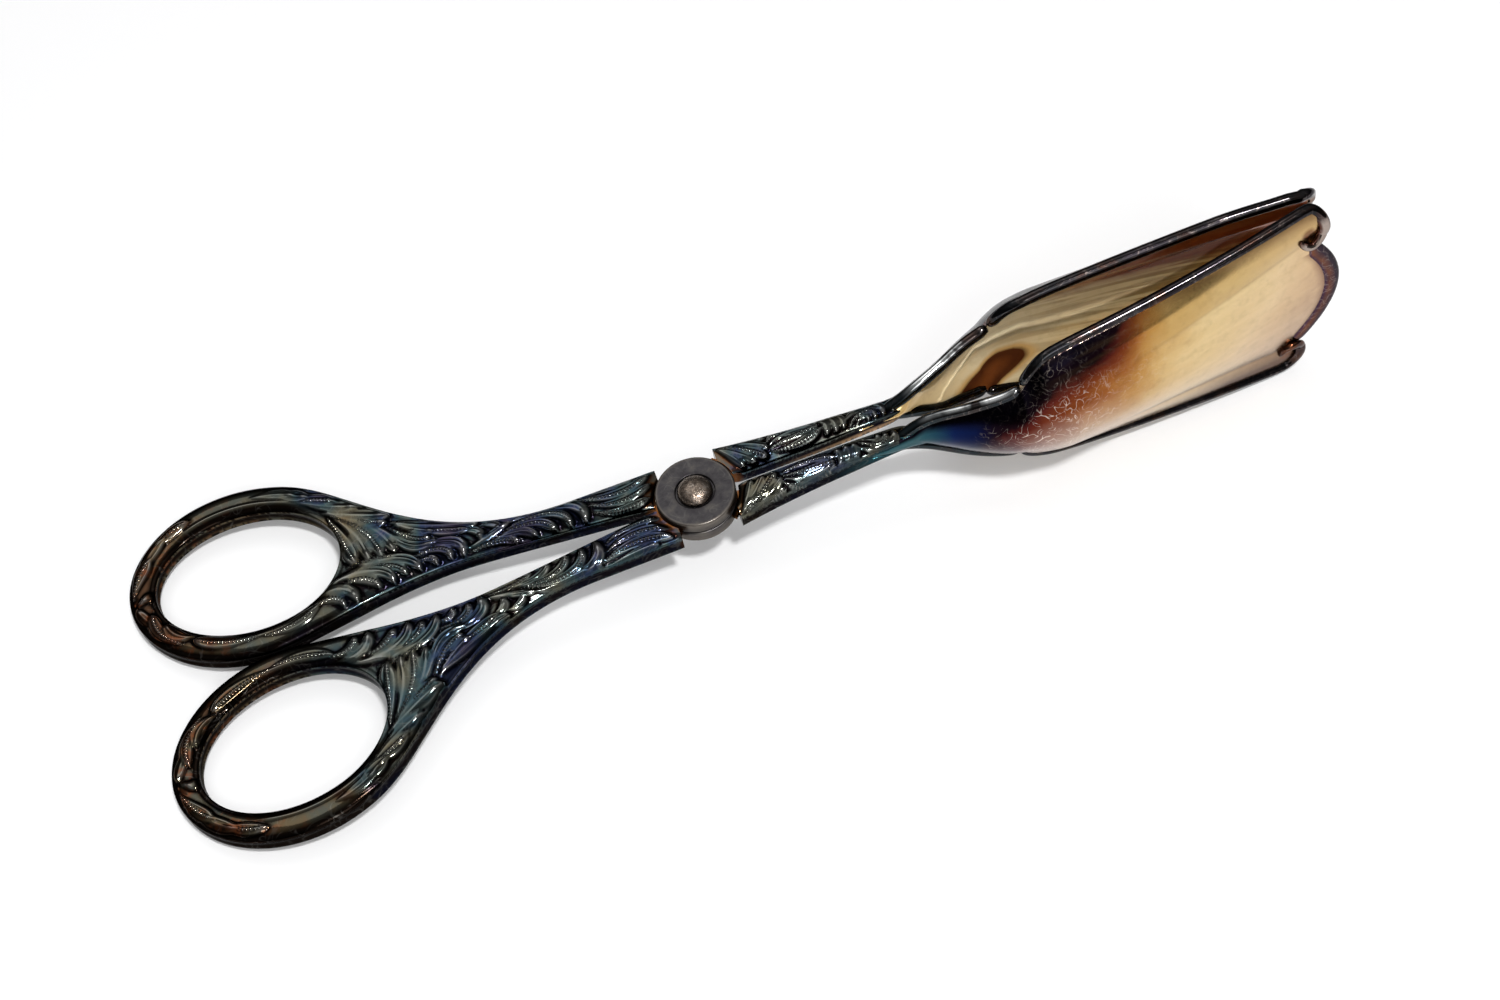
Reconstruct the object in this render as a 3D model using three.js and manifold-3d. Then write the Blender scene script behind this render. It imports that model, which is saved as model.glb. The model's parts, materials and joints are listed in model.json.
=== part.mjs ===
// Pastry tongs: two crossed cast arms with oval finger rings, turning on a domed rivet.
// Each arm carries a long spoon-shaped jaw edged with a raised border that ends in scrolls.
// Millimetres. In the tongs' own group X runs from the rings to the jaws, Y to the left of the
// hand and Z along the rivet. The group is then tipped to lie on a table, with +Z up.
import * as THREE from 'three';
import { mergeVertices } from 'three/addons/utils/BufferGeometryUtils.js';
import Module from 'manifold-3d';

const degrees = THREE.MathUtils.degToRad;
const lerp = THREE.MathUtils.lerp;
const clamp = THREE.MathUtils.clamp;

// Fits between pieces
const seatGap = 0.3;
const runningGap = 0.35;
const lapGap = 0.4;
const ringGap = 0.4;

// Finger rings
const ringReach = 71.9;
const ringHoleLength = 30.6;
const ringHoleWidth = 22.2;
const ringSlant = degrees(-7.8);
const ringEndBand = 4.4;
const ringInnerBand = 4.7;
const ringOuterBand = 5.1;

// Shanks: a flat wall all round with a crowned face above and below
const wallHalf = 1.2;
const crownRise = 1.0;
const crownInset = 1.3;
const shankSpread = 0.5;
const shankShoulder = 6.93;
const rearShoulderReach = 4.74;
const frontShoulderReach = 5.36;
const frontSpread = 1.1;
const neckReach = 36;
const neckOuter = 4.45;

// Curves of the rear shank between the ring and the pivot
const innerCrestBack = 31.3;
const innerCrest = 3.87;
const forkInnerAngle = degrees(-86);
const forkOuterAngle = degrees(70);
const forkInnerSweep = 7.6;
const forkOuterSweep = 12.2;
const crestRearSweep = 15.4;
const crestFrontSweep = 7.2;
const waistReach = 18.9;
const waistOuter = 7.05;
const waistSweep = 26;

// Pivot
const discRadius = 6.6;
const stackHalf = 2.36;
const rivetRadius = 1.7;
const rivetHeadRadius = 2.9;
const rivetHeadRise = 1.5;
const rivetTailRise = 0.5;
const headSeatDepth = 0.4;

// Jaws: sheet metal, deepest behind the middle, closing toward the tip
const sheet = 1.0;
const neckThickness = 3.3;
const neckTaper = 14;
const cuspReach = 53.5;
const deepReach = 62;
const scrollReach = 104.3;
const tipReach = 112.2;
const neckHalf = 1.9;
const neckBow = 0.7;
const cuspHalf = 8.6;
const swellRootHalf = 12.7;
const swellShoulder = 2.6;
const tipHalf = 20.5;
const swellWaist = 0.5;
const neckRim = 2.9;
const cuspRim = 6.6;
const swellRim = 6.3;
const tipRim = 1.5;
const rimCurl = 1.9;
const neckDepth = 1.5;
const bowlDepth = 6.1;
const tipDepth = 0.7;
const bowlFade = 1.3;
const jawDroop = degrees(0.5);

// Borders of the jaws
const borderRadius = 0.8;
const lipRadius = 0.9;
const scrollRadius = 4.2;
const scrollEye = 1.5;
const scrollTurn = degrees(390);
const scrollOpen = 0.4;
const notchHalf = 11.3;
const lobeRise = 4.2;

// Fineness of the round shapes
const curveSteps = 10;
const crownSteps = 3;
const roundSteps = 24;
const domeSteps = 5;
const wireSides = 6;
const neckSteps = 8;
const rimSteps = 20;
const curlSteps = 28;
const lipSteps = 14;
const insetSteps = 12;
const sheetRows = 22;
const lobeRows = 3;
const sheetColumns = 10;
const tippingPasses = 5;

const wasm = await Module();
wasm.setup();

// A closed geometry as a solid that can be joined and cut.
function solid(geometry) {
  geometry.deleteAttribute('normal');
  geometry.deleteAttribute('uv');
  const welded = mergeVertices(geometry);
  return new wasm.Manifold(new wasm.Mesh({
    numProp: 3,
    vertProperties: welded.attributes.position.array,
    triVerts: Uint32Array.from(welded.index.array),
  }));
}

function geometryOf(body) {
  const mesh = body.getMesh();
  const geometry = new THREE.BufferGeometry();
  geometry.setAttribute('position', new THREE.BufferAttribute(mesh.vertProperties, 3));
  geometry.setIndex(new THREE.BufferAttribute(mesh.triVerts, 1));
  geometry.computeVertexNormals();
  return geometry;
}

// A round plug on the rivet's axis from one height to another.
function plug(radius, bottom, top) {
  const geometry = new THREE.CylinderGeometry(radius, radius, top - bottom, roundSteps);
  geometry.rotateX(Math.PI / 2);
  geometry.translate(0, 0, (bottom + top) / 2);
  return solid(geometry);
}

// A flat outline given its wall and its two crowned faces.
function crowned(outline) {
  const geometry = new THREE.ExtrudeGeometry(outline, {
    depth: 2 * wallHalf,
    curveSegments: curveSteps,
    bevelThickness: crownRise,
    bevelSize: crownInset,
    bevelOffset: -crownInset,
    bevelSegments: crownSteps,
  });
  geometry.translate(0, 0, -wallHalf);
  return solid(geometry);
}

// The finger ring: an oval band round an oval hole, both leaning by the same slant.
const ring = {};
ring.holeLong = ringHoleLength / 2;
ring.holeShort = ringHoleWidth / 2;
ring.long = ring.holeLong + ringEndBand;
ring.short = ring.holeShort + (ringInnerBand + ringOuterBand) / 2;
ring.rise = Math.hypot(ring.long * Math.sin(ringSlant), ring.short * Math.cos(ringSlant));
ring.centre = new THREE.Vector2(-ringReach, ringGap / 2 + ring.rise);
ring.holeY = ring.centre.y - (ringOuterBand - ringInnerBand) / 2;

// A point on the ring's outer edge, or the direction of the edge there.
function onRing(angle) {
  const point = new THREE.Vector2(ring.long * Math.cos(angle), ring.short * Math.sin(angle));
  return point.rotateAround(new THREE.Vector2(), ringSlant).add(ring.centre);
}

function alongRing(angle) {
  const way = new THREE.Vector2(-ring.long * Math.sin(angle), ring.short * Math.cos(angle));
  return way.rotateAround(new THREE.Vector2(), ringSlant).normalize();
}

// Ring and rear shank in plan: along the inner edge, round the ring, back along the outer edge.
function rearOutline() {
  const crestX = innerCrestBack - ringReach;
  const root = new THREE.Vector2(-discRadius / 2, shankSpread);
  const innerFork = onRing(forkInnerAngle);
  const innerWay = alongRing(forkInnerAngle).multiplyScalar(forkInnerSweep).add(innerFork);
  const outerFork = onRing(forkOuterAngle);
  const outerWay = alongRing(forkOuterAngle).multiplyScalar(-forkOuterSweep).add(outerFork);
  const outline = new THREE.Shape();
  outline.moveTo(root.x, root.y);
  outline.bezierCurveTo(
    root.x - crestFrontSweep, root.y,
    crestX + crestFrontSweep, innerCrest,
    crestX, innerCrest);
  outline.bezierCurveTo(
    crestX - crestRearSweep, innerCrest,
    innerWay.x, innerWay.y,
    innerFork.x, innerFork.y);
  outline.absellipse(
    ring.centre.x, ring.centre.y, ring.long, ring.short,
    forkInnerAngle, forkOuterAngle, true, ringSlant);
  outline.bezierCurveTo(
    outerWay.x, outerWay.y,
    -waistReach - waistSweep, waistOuter,
    -waistReach, waistOuter);
  outline.lineTo(-rearShoulderReach, shankShoulder);
  outline.lineTo(-discRadius / 4, discRadius / 2);
  outline.closePath();
  const hole = new THREE.Path();
  hole.absellipse(
    -ringReach, ring.holeY, ring.holeLong, ring.holeShort, 0, 2 * Math.PI, false, ringSlant);
  outline.holes.push(hole);
  return outline;
}

// Front shank in plan, on the other side of the pivot. It runs on past the neck, so that its
// end is cut square there.
const neckRun = 2 * crownInset;
function frontOutline() {
  const end = neckReach + neckRun;
  const middle = (frontShoulderReach + neckReach) / 2;
  const outline = new THREE.Shape();
  outline.moveTo(discRadius / 4, -frontSpread);
  outline.lineTo(end, -frontSpread);
  outline.lineTo(end, -neckOuter);
  outline.lineTo(neckReach, -neckOuter);
  outline.quadraticCurveTo(middle, -neckOuter, frontShoulderReach, -shankShoulder);
  outline.lineTo(discRadius / 4, -discRadius / 2);
  outline.closePath();
  return outline;
}

// One cast handle, lying as the left one does: lower lap disc, ring to the left.
// Above the lap the other arm's disc turns inside a round clearance.
function handle() {
  const beyond = stackHalf + crownRise;
  const disc = plug(discRadius, -stackHalf, -lapGap / 2);
  const turningRoom = plug(discRadius + runningGap, -lapGap / 2, beyond);
  const rivetHole = plug(rivetRadius + seatGap, -beyond, beyond);
  const headSeat = plug(rivetHeadRadius + seatGap, -beyond, -stackHalf + headSeatDepth);
  const pastNeck = new THREE.BoxGeometry(2 * neckRun, 4 * neckOuter, 2 * beyond);
  pastNeck.translate(neckReach + neckRun, -neckOuter, 0);
  const cast = crowned(rearOutline()).add(crowned(frontOutline())).add(disc);
  const cut = turningRoom.add(rivetHole).add(headSeat).add(solid(pastNeck));
  return geometryOf(cast.subtract(cut));
}

// One end of the rivet in profile: from its middle over the round of the head, then in to the
// shaft along its seat.
function rivetEnd(rise, side) {
  const seat = stackHalf - headSeatDepth + seatGap;
  const profile = [];
  for (let step = 0; step <= domeSteps; step++) {
    const angle = Math.PI / 2 * step / domeSteps;
    const height = stackHalf + rise * Math.cos(angle);
    profile.push(new THREE.Vector2(rivetHeadRadius * Math.sin(angle), side * height));
  }
  profile.push(new THREE.Vector2(rivetHeadRadius, side * seat));
  profile.push(new THREE.Vector2(rivetRadius, side * seat));
  return profile;
}

// The rivet: a dome over the upper disc, a shaft, and a flatter hammered tail below.
function rivet() {
  const tail = rivetEnd(rivetTailRise, -1);
  const head = rivetEnd(rivetHeadRise, 1).reverse();
  const geometry = new THREE.LatheGeometry([...tail, ...head], roundSteps);
  geometry.rotateX(Math.PI / 2);
  return geometryOf(solid(geometry));
}

// Height of the jaw's border line above the middle, from the neck to the scroll.
function rimHalf(x) {
  if (x < cuspReach) {
    const share = (x - neckReach) / (cuspReach - neckReach);
    return lerp(neckHalf, cuspHalf, share) + neckBow * Math.sin(Math.PI * share);
  }
  const share = (x - cuspReach) / (scrollReach - cuspReach);
  const swell = lerp(swellRootHalf, tipHalf, share) - swellWaist * Math.sin(Math.PI * share);
  return swell - (swellRootHalf - cuspHalf) * Math.exp((cuspReach - x) / swellShoulder);
}

// How far the border line stands from the middle plane of the tongs.
function rimOut(x) {
  if (x < cuspReach) {
    return lerp(neckRim, cuspRim, THREE.MathUtils.smoothstep(x, neckReach, cuspReach));
  }
  const share = clamp((x - cuspReach) / (tipReach - cuspReach), 0, 1);
  const ease = Math.exp((cuspReach - x) / swellShoulder);
  return swellRim + (cuspRim - swellRim) * ease - (swellRim - tipRim) * share ** rimCurl;
}

// How far the middle of the jaw bellies out past its border line.
function bellyOut(x) {
  if (x < deepReach) {
    return lerp(neckDepth, bowlDepth, THREE.MathUtils.smoothstep(x, neckReach, deepReach));
  }
  const share = clamp((x - deepReach) / (tipReach - deepReach), 0, 1);
  return tipDepth + (bowlDepth - tipDepth) * (1 - share) ** bowlFade;
}

// Middle of the sheet, measured out from the middle plane.
function faceOut(x, z) {
  const across = Math.min(Math.abs(z) / rimHalf(Math.min(x, scrollReach)), 1);
  return rimOut(x) + bellyOut(x) * (1 - across ** 2);
}

// End of the jaw at a height: the central lobe, or the scroll lobe above and below it.
const scrollHalf = tipHalf - scrollRadius;
function lobeEnd(z) {
  const height = Math.abs(z);
  if (height < notchHalf) {
    return tipReach - lobeRise * (height / notchHalf) ** 2;
  }
  const off = Math.min(Math.abs(height - scrollHalf) / scrollRadius, 1);
  return scrollReach + scrollRadius * Math.sqrt(1 - off ** 2);
}

// A line drawn in by one wire radius and its fit, square to itself.
function drawnIn(line, at, radius) {
  const inset = radius + seatGap;
  let least = Infinity;
  for (let step = 0; step <= insetSteps; step++) {
    const angle = Math.PI * step / insetSteps;
    least = Math.min(least, line(at - inset * Math.cos(angle)) - inset * Math.sin(angle));
  }
  return least;
}

// The sheet of the right jaw: rows run along it, columns across it. The last rows fill the lobes.
function jawSheet() {
  const start = neckReach + seatGap;
  const leastLobe = scrollReach + sheet / 2;
  const tipWire = Math.max(borderRadius, lipRadius);
  const rowCount = sheetRows + lobeRows;
  const outer = [];
  const inner = [];
  for (let row = 0; row <= rowCount; row++) {
    const base = lerp(start, scrollReach, Math.min(row / sheetRows, 1));
    const intoLobe = Math.max(row - sheetRows, 0) / lobeRows;
    const half = drawnIn(rimHalf, base, borderRadius);
    for (let column = 0; column <= sheetColumns; column++) {
      const across = 2 * column / sheetColumns - 1;
      const z = across * half;
      const end = Math.max(drawnIn(lobeEnd, z, tipWire), leastLobe);
      const x = lerp(base, end, intoLobe);
      const atNeck = Math.max(1 - (x - start) / neckTaper, 0) ** 2;
      const wall = lerp(sheet, neckThickness, atNeck * (1 - across ** 2));
      const out = faceOut(x, z) + sheet / 2;
      outer.push(new THREE.Vector3(x, -out, z));
      inner.push(new THREE.Vector3(x, wall - out, z));
    }
  }
  return closedSheet(outer, inner, rowCount, sheetColumns);
}

// Two matching grids of points joined along their edges into one closed body.
function closedSheet(outer, inner, rows, columns) {
  const count = outer.length;
  const index = (row, column) => row * (columns + 1) + column;
  const faces = [];
  const quad = (a, b, c, d) => faces.push(a, b, c, a, c, d);
  for (let row = 0; row < rows; row++) {
    for (let column = 0; column < columns; column++) {
      const a = index(row, column);
      const b = index(row + 1, column);
      const c = index(row + 1, column + 1);
      const d = index(row, column + 1);
      quad(a, b, c, d);
      quad(count + d, count + c, count + b, count + a);
    }
  }
  const edge = [];
  for (let row = 0; row < rows; row++) edge.push(index(row, 0));
  for (let column = 0; column < columns; column++) edge.push(index(rows, column));
  for (let row = rows; row > 0; row--) edge.push(index(row, columns));
  for (let column = columns; column > 0; column--) edge.push(index(0, column));
  edge.forEach((a, place) => {
    const b = edge[(place + 1) % edge.length];
    quad(b, a, count + a, count + b);
  });
  const geometry = new THREE.BufferGeometry().setFromPoints([...outer, ...inner]);
  geometry.setIndex(faces);
  geometry.computeVertexNormals();
  return geometry;
}

// A round wire along a run of points.
function wire(points, radius, steps) {
  const section = new THREE.Shape();
  section.absarc(0, 0, radius, 0, 2 * Math.PI, false);
  const geometry = new THREE.ExtrudeGeometry(section, {
    steps,
    curveSegments: wireSides / 2,
    bevelEnabled: false,
    extrudePath: new THREE.CatmullRomCurve3(points),
  });
  return geometryOf(solid(geometry));
}

// Points of the border line between two places along the right jaw; side is 1 above, -1 below.
function rimPoints(from, to, steps, side) {
  return Array.from({ length: steps + 1 }, (_, step) => {
    const x = lerp(from, to, step / steps);
    return new THREE.Vector3(x, -rimOut(x), side * rimHalf(x));
  });
}

// Short border from the neck to the cusp.
function neckBorder(side) {
  const from = neckReach + seatGap + borderRadius;
  const to = cuspReach - borderRadius - seatGap;
  return wire(rimPoints(from, to, neckSteps, side), borderRadius, neckSteps);
}

// Long border from the cusp to the tip, where it curls into a scroll that climbs on to the face.
function longBorder(side) {
  const points = rimPoints(cuspReach + borderRadius, scrollReach, rimSteps, side);
  const climb = sheet / 2 + seatGap + borderRadius;
  for (let step = 1; step <= curlSteps; step++) {
    const share = step / curlSteps;
    const angle = Math.PI / 2 - scrollTurn * share;
    const tightened = Math.max(share - scrollOpen, 0) / (1 - scrollOpen);
    const radius = lerp(scrollRadius, scrollEye, tightened);
    const x = scrollReach + radius * Math.cos(angle);
    const height = scrollHalf + radius * Math.sin(angle);
    const out = faceOut(x, height) + climb * THREE.MathUtils.smoothstep(share, 0, scrollOpen);
    points.push(new THREE.Vector3(x, -out, side * height));
  }
  return wire(points, borderRadius, rimSteps + curlSteps);
}

// Lip round the central lobe, between the two scrolls.
function tipLip() {
  const half = notchHalf - lipRadius - seatGap;
  const points = Array.from({ length: lipSteps + 1 }, (_, step) => {
    const z = half * (2 * step / lipSteps - 1);
    const x = lobeEnd(z);
    return new THREE.Vector3(x, -faceOut(x, z), z);
  });
  return wire(points, lipRadius, lipSteps);
}

const tarnishedSilver = { color: 0x2f3338, roughness: 0.25, metalness: 1 };
const giltJaw = { color: 0xb08a4e, roughness: 0.2, metalness: 1 };
const darkBorder = { color: 0x2a2028, roughness: 0.3, metalness: 1 };
const wornRivet = { color: 0x8a7a6c, roughness: 0.35, metalness: 1 };

function addPiece(group, name, geometry, look) {
  const mesh = new THREE.Mesh(geometry, new THREE.MeshStandardMaterial(look));
  mesh.name = name;
  group.add(mesh);
}

// One arm; the second is the same arm turned over about X, which swaps above and below.
// Both jaws droop a little from the neck, toward the table.
function arm(handleName, jawName, turnedOver) {
  const up = turnedOver ? -1 : 1;
  const group = new THREE.Group();
  group.rotation.x = turnedOver ? Math.PI : 0;
  addPiece(group, handleName, handle(), tarnishedSilver);
  const neck = new THREE.Group();
  neck.position.x = neckReach;
  neck.rotation.y = up * jawDroop;
  group.add(neck);
  const jaw = new THREE.Group();
  jaw.position.x = -neckReach;
  neck.add(jaw);
  addPiece(jaw, jawName, jawSheet(), giltJaw);
  for (const [level, side] of [['upper', up], ['lower', -up]]) {
    addPiece(jaw, `${jawName}_${level}_neck_border`, neckBorder(side), darkBorder);
    addPiece(jaw, `${jawName}_${level}_border`, longBorder(side), darkBorder);
  }
  addPiece(jaw, `${jawName}_tip_lip`, tipLip(), darkBorder);
  return group;
}

// The lowest corner of the pieces on one side of the pivot, as the group lies now.
function lowest(group, inFront) {
  const low = new THREE.Vector3(0, 0, Infinity);
  const corner = new THREE.Vector3();
  group.updateMatrixWorld(true);
  group.traverse((piece) => {
    if (!piece.isMesh) return;
    const places = piece.geometry.attributes.position;
    for (let place = 0; place < places.count; place++) {
      corner.fromBufferAttribute(places, place).applyMatrix4(piece.matrixWorld);
      if (corner.x > 0 === inFront && corner.z < low.z) low.copy(corner);
    }
  });
  return low;
}

// Tips the tongs until rings and jaws both rest on the table, then stands them on the origin.
function layOnTable(group) {
  for (let pass = 0; pass < tippingPasses; pass++) {
    const rings = lowest(group, false);
    const jaws = lowest(group, true);
    group.rotation.y += Math.atan2(jaws.z - rings.z, jaws.x - rings.x);
  }
  const box = new THREE.Box3().setFromObject(group, true);
  const middle = box.getCenter(new THREE.Vector3());
  group.position.set(-middle.x, -middle.y, -box.min.z);
}

const tongs = new THREE.Group();
tongs.add(arm('left_handle', 'right_jaw', false));
tongs.add(arm('right_handle', 'left_jaw', true));
addPiece(tongs, 'pivot_rivet', rivet(), wornRivet);
layOnTable(tongs);

const pastryTongs = new THREE.Group();
pastryTongs.add(tongs);
export default pastryTongs;
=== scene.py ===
import json
import bmesh
import bpy
import numpy as np
from mathutils import Matrix, Vector


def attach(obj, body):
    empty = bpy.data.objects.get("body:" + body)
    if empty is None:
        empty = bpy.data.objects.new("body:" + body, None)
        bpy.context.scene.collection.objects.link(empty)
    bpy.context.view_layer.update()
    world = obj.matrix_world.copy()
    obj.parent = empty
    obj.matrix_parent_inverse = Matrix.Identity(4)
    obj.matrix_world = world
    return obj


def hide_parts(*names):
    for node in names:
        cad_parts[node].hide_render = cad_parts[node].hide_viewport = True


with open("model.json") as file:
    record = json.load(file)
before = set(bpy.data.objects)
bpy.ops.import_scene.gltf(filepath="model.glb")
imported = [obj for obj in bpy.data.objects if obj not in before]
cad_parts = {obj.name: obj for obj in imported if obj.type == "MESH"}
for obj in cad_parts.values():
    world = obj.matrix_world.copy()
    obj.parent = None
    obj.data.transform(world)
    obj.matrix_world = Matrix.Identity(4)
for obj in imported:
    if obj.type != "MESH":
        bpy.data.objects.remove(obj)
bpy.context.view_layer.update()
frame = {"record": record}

# Handles: two alike castings in silver plate, each a finger ring, a shank covered in scrolling
# leaves, a lap disc and a front shank. The second is the first turned over, so the discs cross.
# Sizes are millimetres in the tongs' own directions: X rings to jaws, Y left, Z up the rivet.
hinge = frame["record"]["behaviour"]["joints"][0]
pivot = np.array(hinge["pos_m"])
up_rivet = np.array(hinge["axis"])
own_axes = np.array([[up_rivet[2], 0.0, -up_rivet[0]], [0.0, 1.0, 0.0], up_rivet])
millimetre = 0.001
weld_distance = 2e-7


def lie(points):
    """Points of the tongs as they lie on the table, in metres: the pivot plus each coordinate
    laid along its own direction."""
    return pivot + millimetre * (points @ own_axes)


def turn_over(points):
    """The same points after half a turn round the long axis: y and z change sign."""
    return points * np.array([1.0, -1.0, -1.0])


def grid_faces(rows, columns, first=0):
    """Four-cornered faces between neighbouring points of a grid that is stored row by row."""
    corner = first + np.arange(rows * columns).reshape(rows, columns)
    square = [corner[:-1, :-1], corner[1:, :-1], corner[1:, 1:], corner[:-1, 1:]]
    return np.stack(square, axis=-1).reshape(-1, 4)


def make_piece(name, surfaces, look, crease):
    """A closed piece from surfaces, each a grid of points and the values that the finish reads
    there, 0 where it gives none. Coincident edges are welded, faces are turned outward, and
    edges sharper than the crease angle stay crisp."""
    shapes = [grid.shape[:2] for grid, _ in surfaces]
    first = np.cumsum([0] + [rows * columns for rows, columns in shapes])
    faces = [grid_faces(*shape, start) for shape, start in zip(shapes, first)]
    points = np.concatenate([grid.reshape(-1, 3) for grid, _ in surfaces])
    mesh = bpy.data.meshes.new(name)
    mesh.from_pydata(lie(points).tolist(), [], np.concatenate(faces).tolist())
    for label in sorted({label for _, values in surfaces for label in values}):
        given = [values.get(label, 0.0) for _, values in surfaces]
        filled = [np.broadcast_to(value, shape).ravel() for value, shape in zip(given, shapes)]
        layer = mesh.attributes.new(label, "FLOAT", "POINT")
        layer.data.foreach_set("value", np.concatenate(filled).astype("f"))
    shell = bmesh.new()
    shell.from_mesh(mesh)
    bmesh.ops.remove_doubles(shell, verts=shell.verts, dist=weld_distance)
    bmesh.ops.recalc_face_normals(shell, faces=shell.faces)
    shell.to_mesh(mesh)
    shell.free()
    mesh.shade_smooth()
    mesh.set_sharp_from_angle(angle=np.radians(crease))
    mesh.materials.append(look)
    piece = bpy.data.objects.new(name, mesh)
    bpy.context.scene.collection.objects.link(piece)
    return piece


def bezier(corners, share):
    """Cubic curve: four corners, each weighted by its Bernstein share of the way along."""
    corner = np.asarray(corners, dtype=float)
    s = np.asarray(share)[:, None]
    t = 1 - s
    return t**3 * corner[0] + 3 * s * t**2 * corner[1] + 3 * s**2 * t * corner[2] + s**3 * corner[3]


def run_along(line):
    """Length of a drawn line up to each of its points."""
    return np.concatenate([[0.0], np.cumsum(np.linalg.norm(np.diff(line, axis=0), axis=1))])


def spaced(line, shares):
    """Points at given shares of the length of a drawn line."""
    run = run_along(line)
    return np.column_stack([np.interp(shares * run[-1], run, line[:, k]) for k in (0, 1)])


def share_at(line, x):
    """Share of a line's length at which it passes a given x."""
    run = run_along(line)
    return np.interp(-x, -line[:, 0], run) / run[-1]


def unit(ways):
    """The same directions with a length of one."""
    return ways / np.maximum(np.linalg.norm(ways, axis=-1, keepdims=True), 1e-9)


def sideways(ways, toward):
    """Unit directions in plan square to the given ones, on the side that others point to."""
    square = unit(np.stack([ways[:, 1], -ways[:, 0]], axis=1))
    return square * np.sign((square * toward).sum(axis=1))[:, None]


def rounded(depth, reach):
    """Quarter-round rise from 0 at an edge to 1 at the given reach behind it."""
    return np.sqrt(np.clip(1 - (1 - np.clip(depth / reach, 0, 1)) ** 2, 0, 1))


def eased(value, low, high):
    """Smooth step from 0 at low to 1 at high: 3q^2 - 2q^3 of the share q between them."""
    q = np.clip((value - low) / (high - low), 0, 1)
    return q * q * (3 - 2 * q)


def bell(*offs):
    """Bell curve over one or more distances: e to the minus sum of their squares."""
    return np.exp(-sum(off**2 for off in offs))


def gathered(count):
    """Shares from 0 to 1, closer at both ends: 0.65 of even steps, 0.35 of half a cosine."""
    even = np.linspace(0, 1, count)
    return 0.65 * even + 0.35 * (0.5 - 0.5 * np.cos(np.pi * even))


def revolved(profile, angle):
    """A profile of radius and height carried round the rivet's axis through the given angles."""
    radius, height = np.asarray(profile, dtype=float).T
    angle = angle[:, None]
    return np.stack([radius * np.cos(angle), radius * np.sin(angle), height + 0 * angle], axis=-1)


ring_reach = 71.9
hole_long, hole_short = 15.3, 11.1
ring_slant = np.radians(-7.8)
end_band, inner_band, outer_band, ring_gap = 4.36, 4.7, 5.09, 0.4
wall_half, edge_round, edge_slope = 1.6, 2.1, 1.0
shank_crown, ring_rounding, end_thinning = 0.42, 0.62, 0.12
disc_radius, turning_radius = 6.6, 6.95
shoulder, rear_shoulder, front_shoulder, shoulder_fade = 6.93, 4.74, 5.36, 8.0
neck_reach, neck_outer = 36.0, 4.45
shank_spread, front_spread = 0.5, 1.1
waist_reach, waist_outer = 18.9, 7.05
crest_x, crest_y = -40.6, 3.87
fork_inner, fork_outer = np.radians(-86), np.radians(70)
ring_long = hole_long + end_band
ring_short = hole_short + (inner_band + outer_band) / 2
ring_rise = np.hypot(ring_long * np.sin(ring_slant), ring_short * np.cos(ring_slant))
ring_centre = np.array([-ring_reach, ring_gap / 2 + ring_rise])
hole_centre = ring_centre - np.array([0.0, (outer_band - inner_band) / 2])
slanted = np.array([[np.cos(ring_slant), np.sin(ring_slant)],
                    [-np.sin(ring_slant), np.cos(ring_slant)]])


def oval(angle, centre, long, short):
    """Points of a slanted oval: its half axes times cosine and sine, turned by the slant."""
    return centre + np.stack([long * np.cos(angle), short * np.sin(angle)], axis=-1) @ slanted


def oval_way(angle):
    """Unit direction along the ring's outer edge."""
    return unit(np.array([-ring_long * np.sin(angle), ring_short * np.cos(angle)]) @ slanted)


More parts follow.
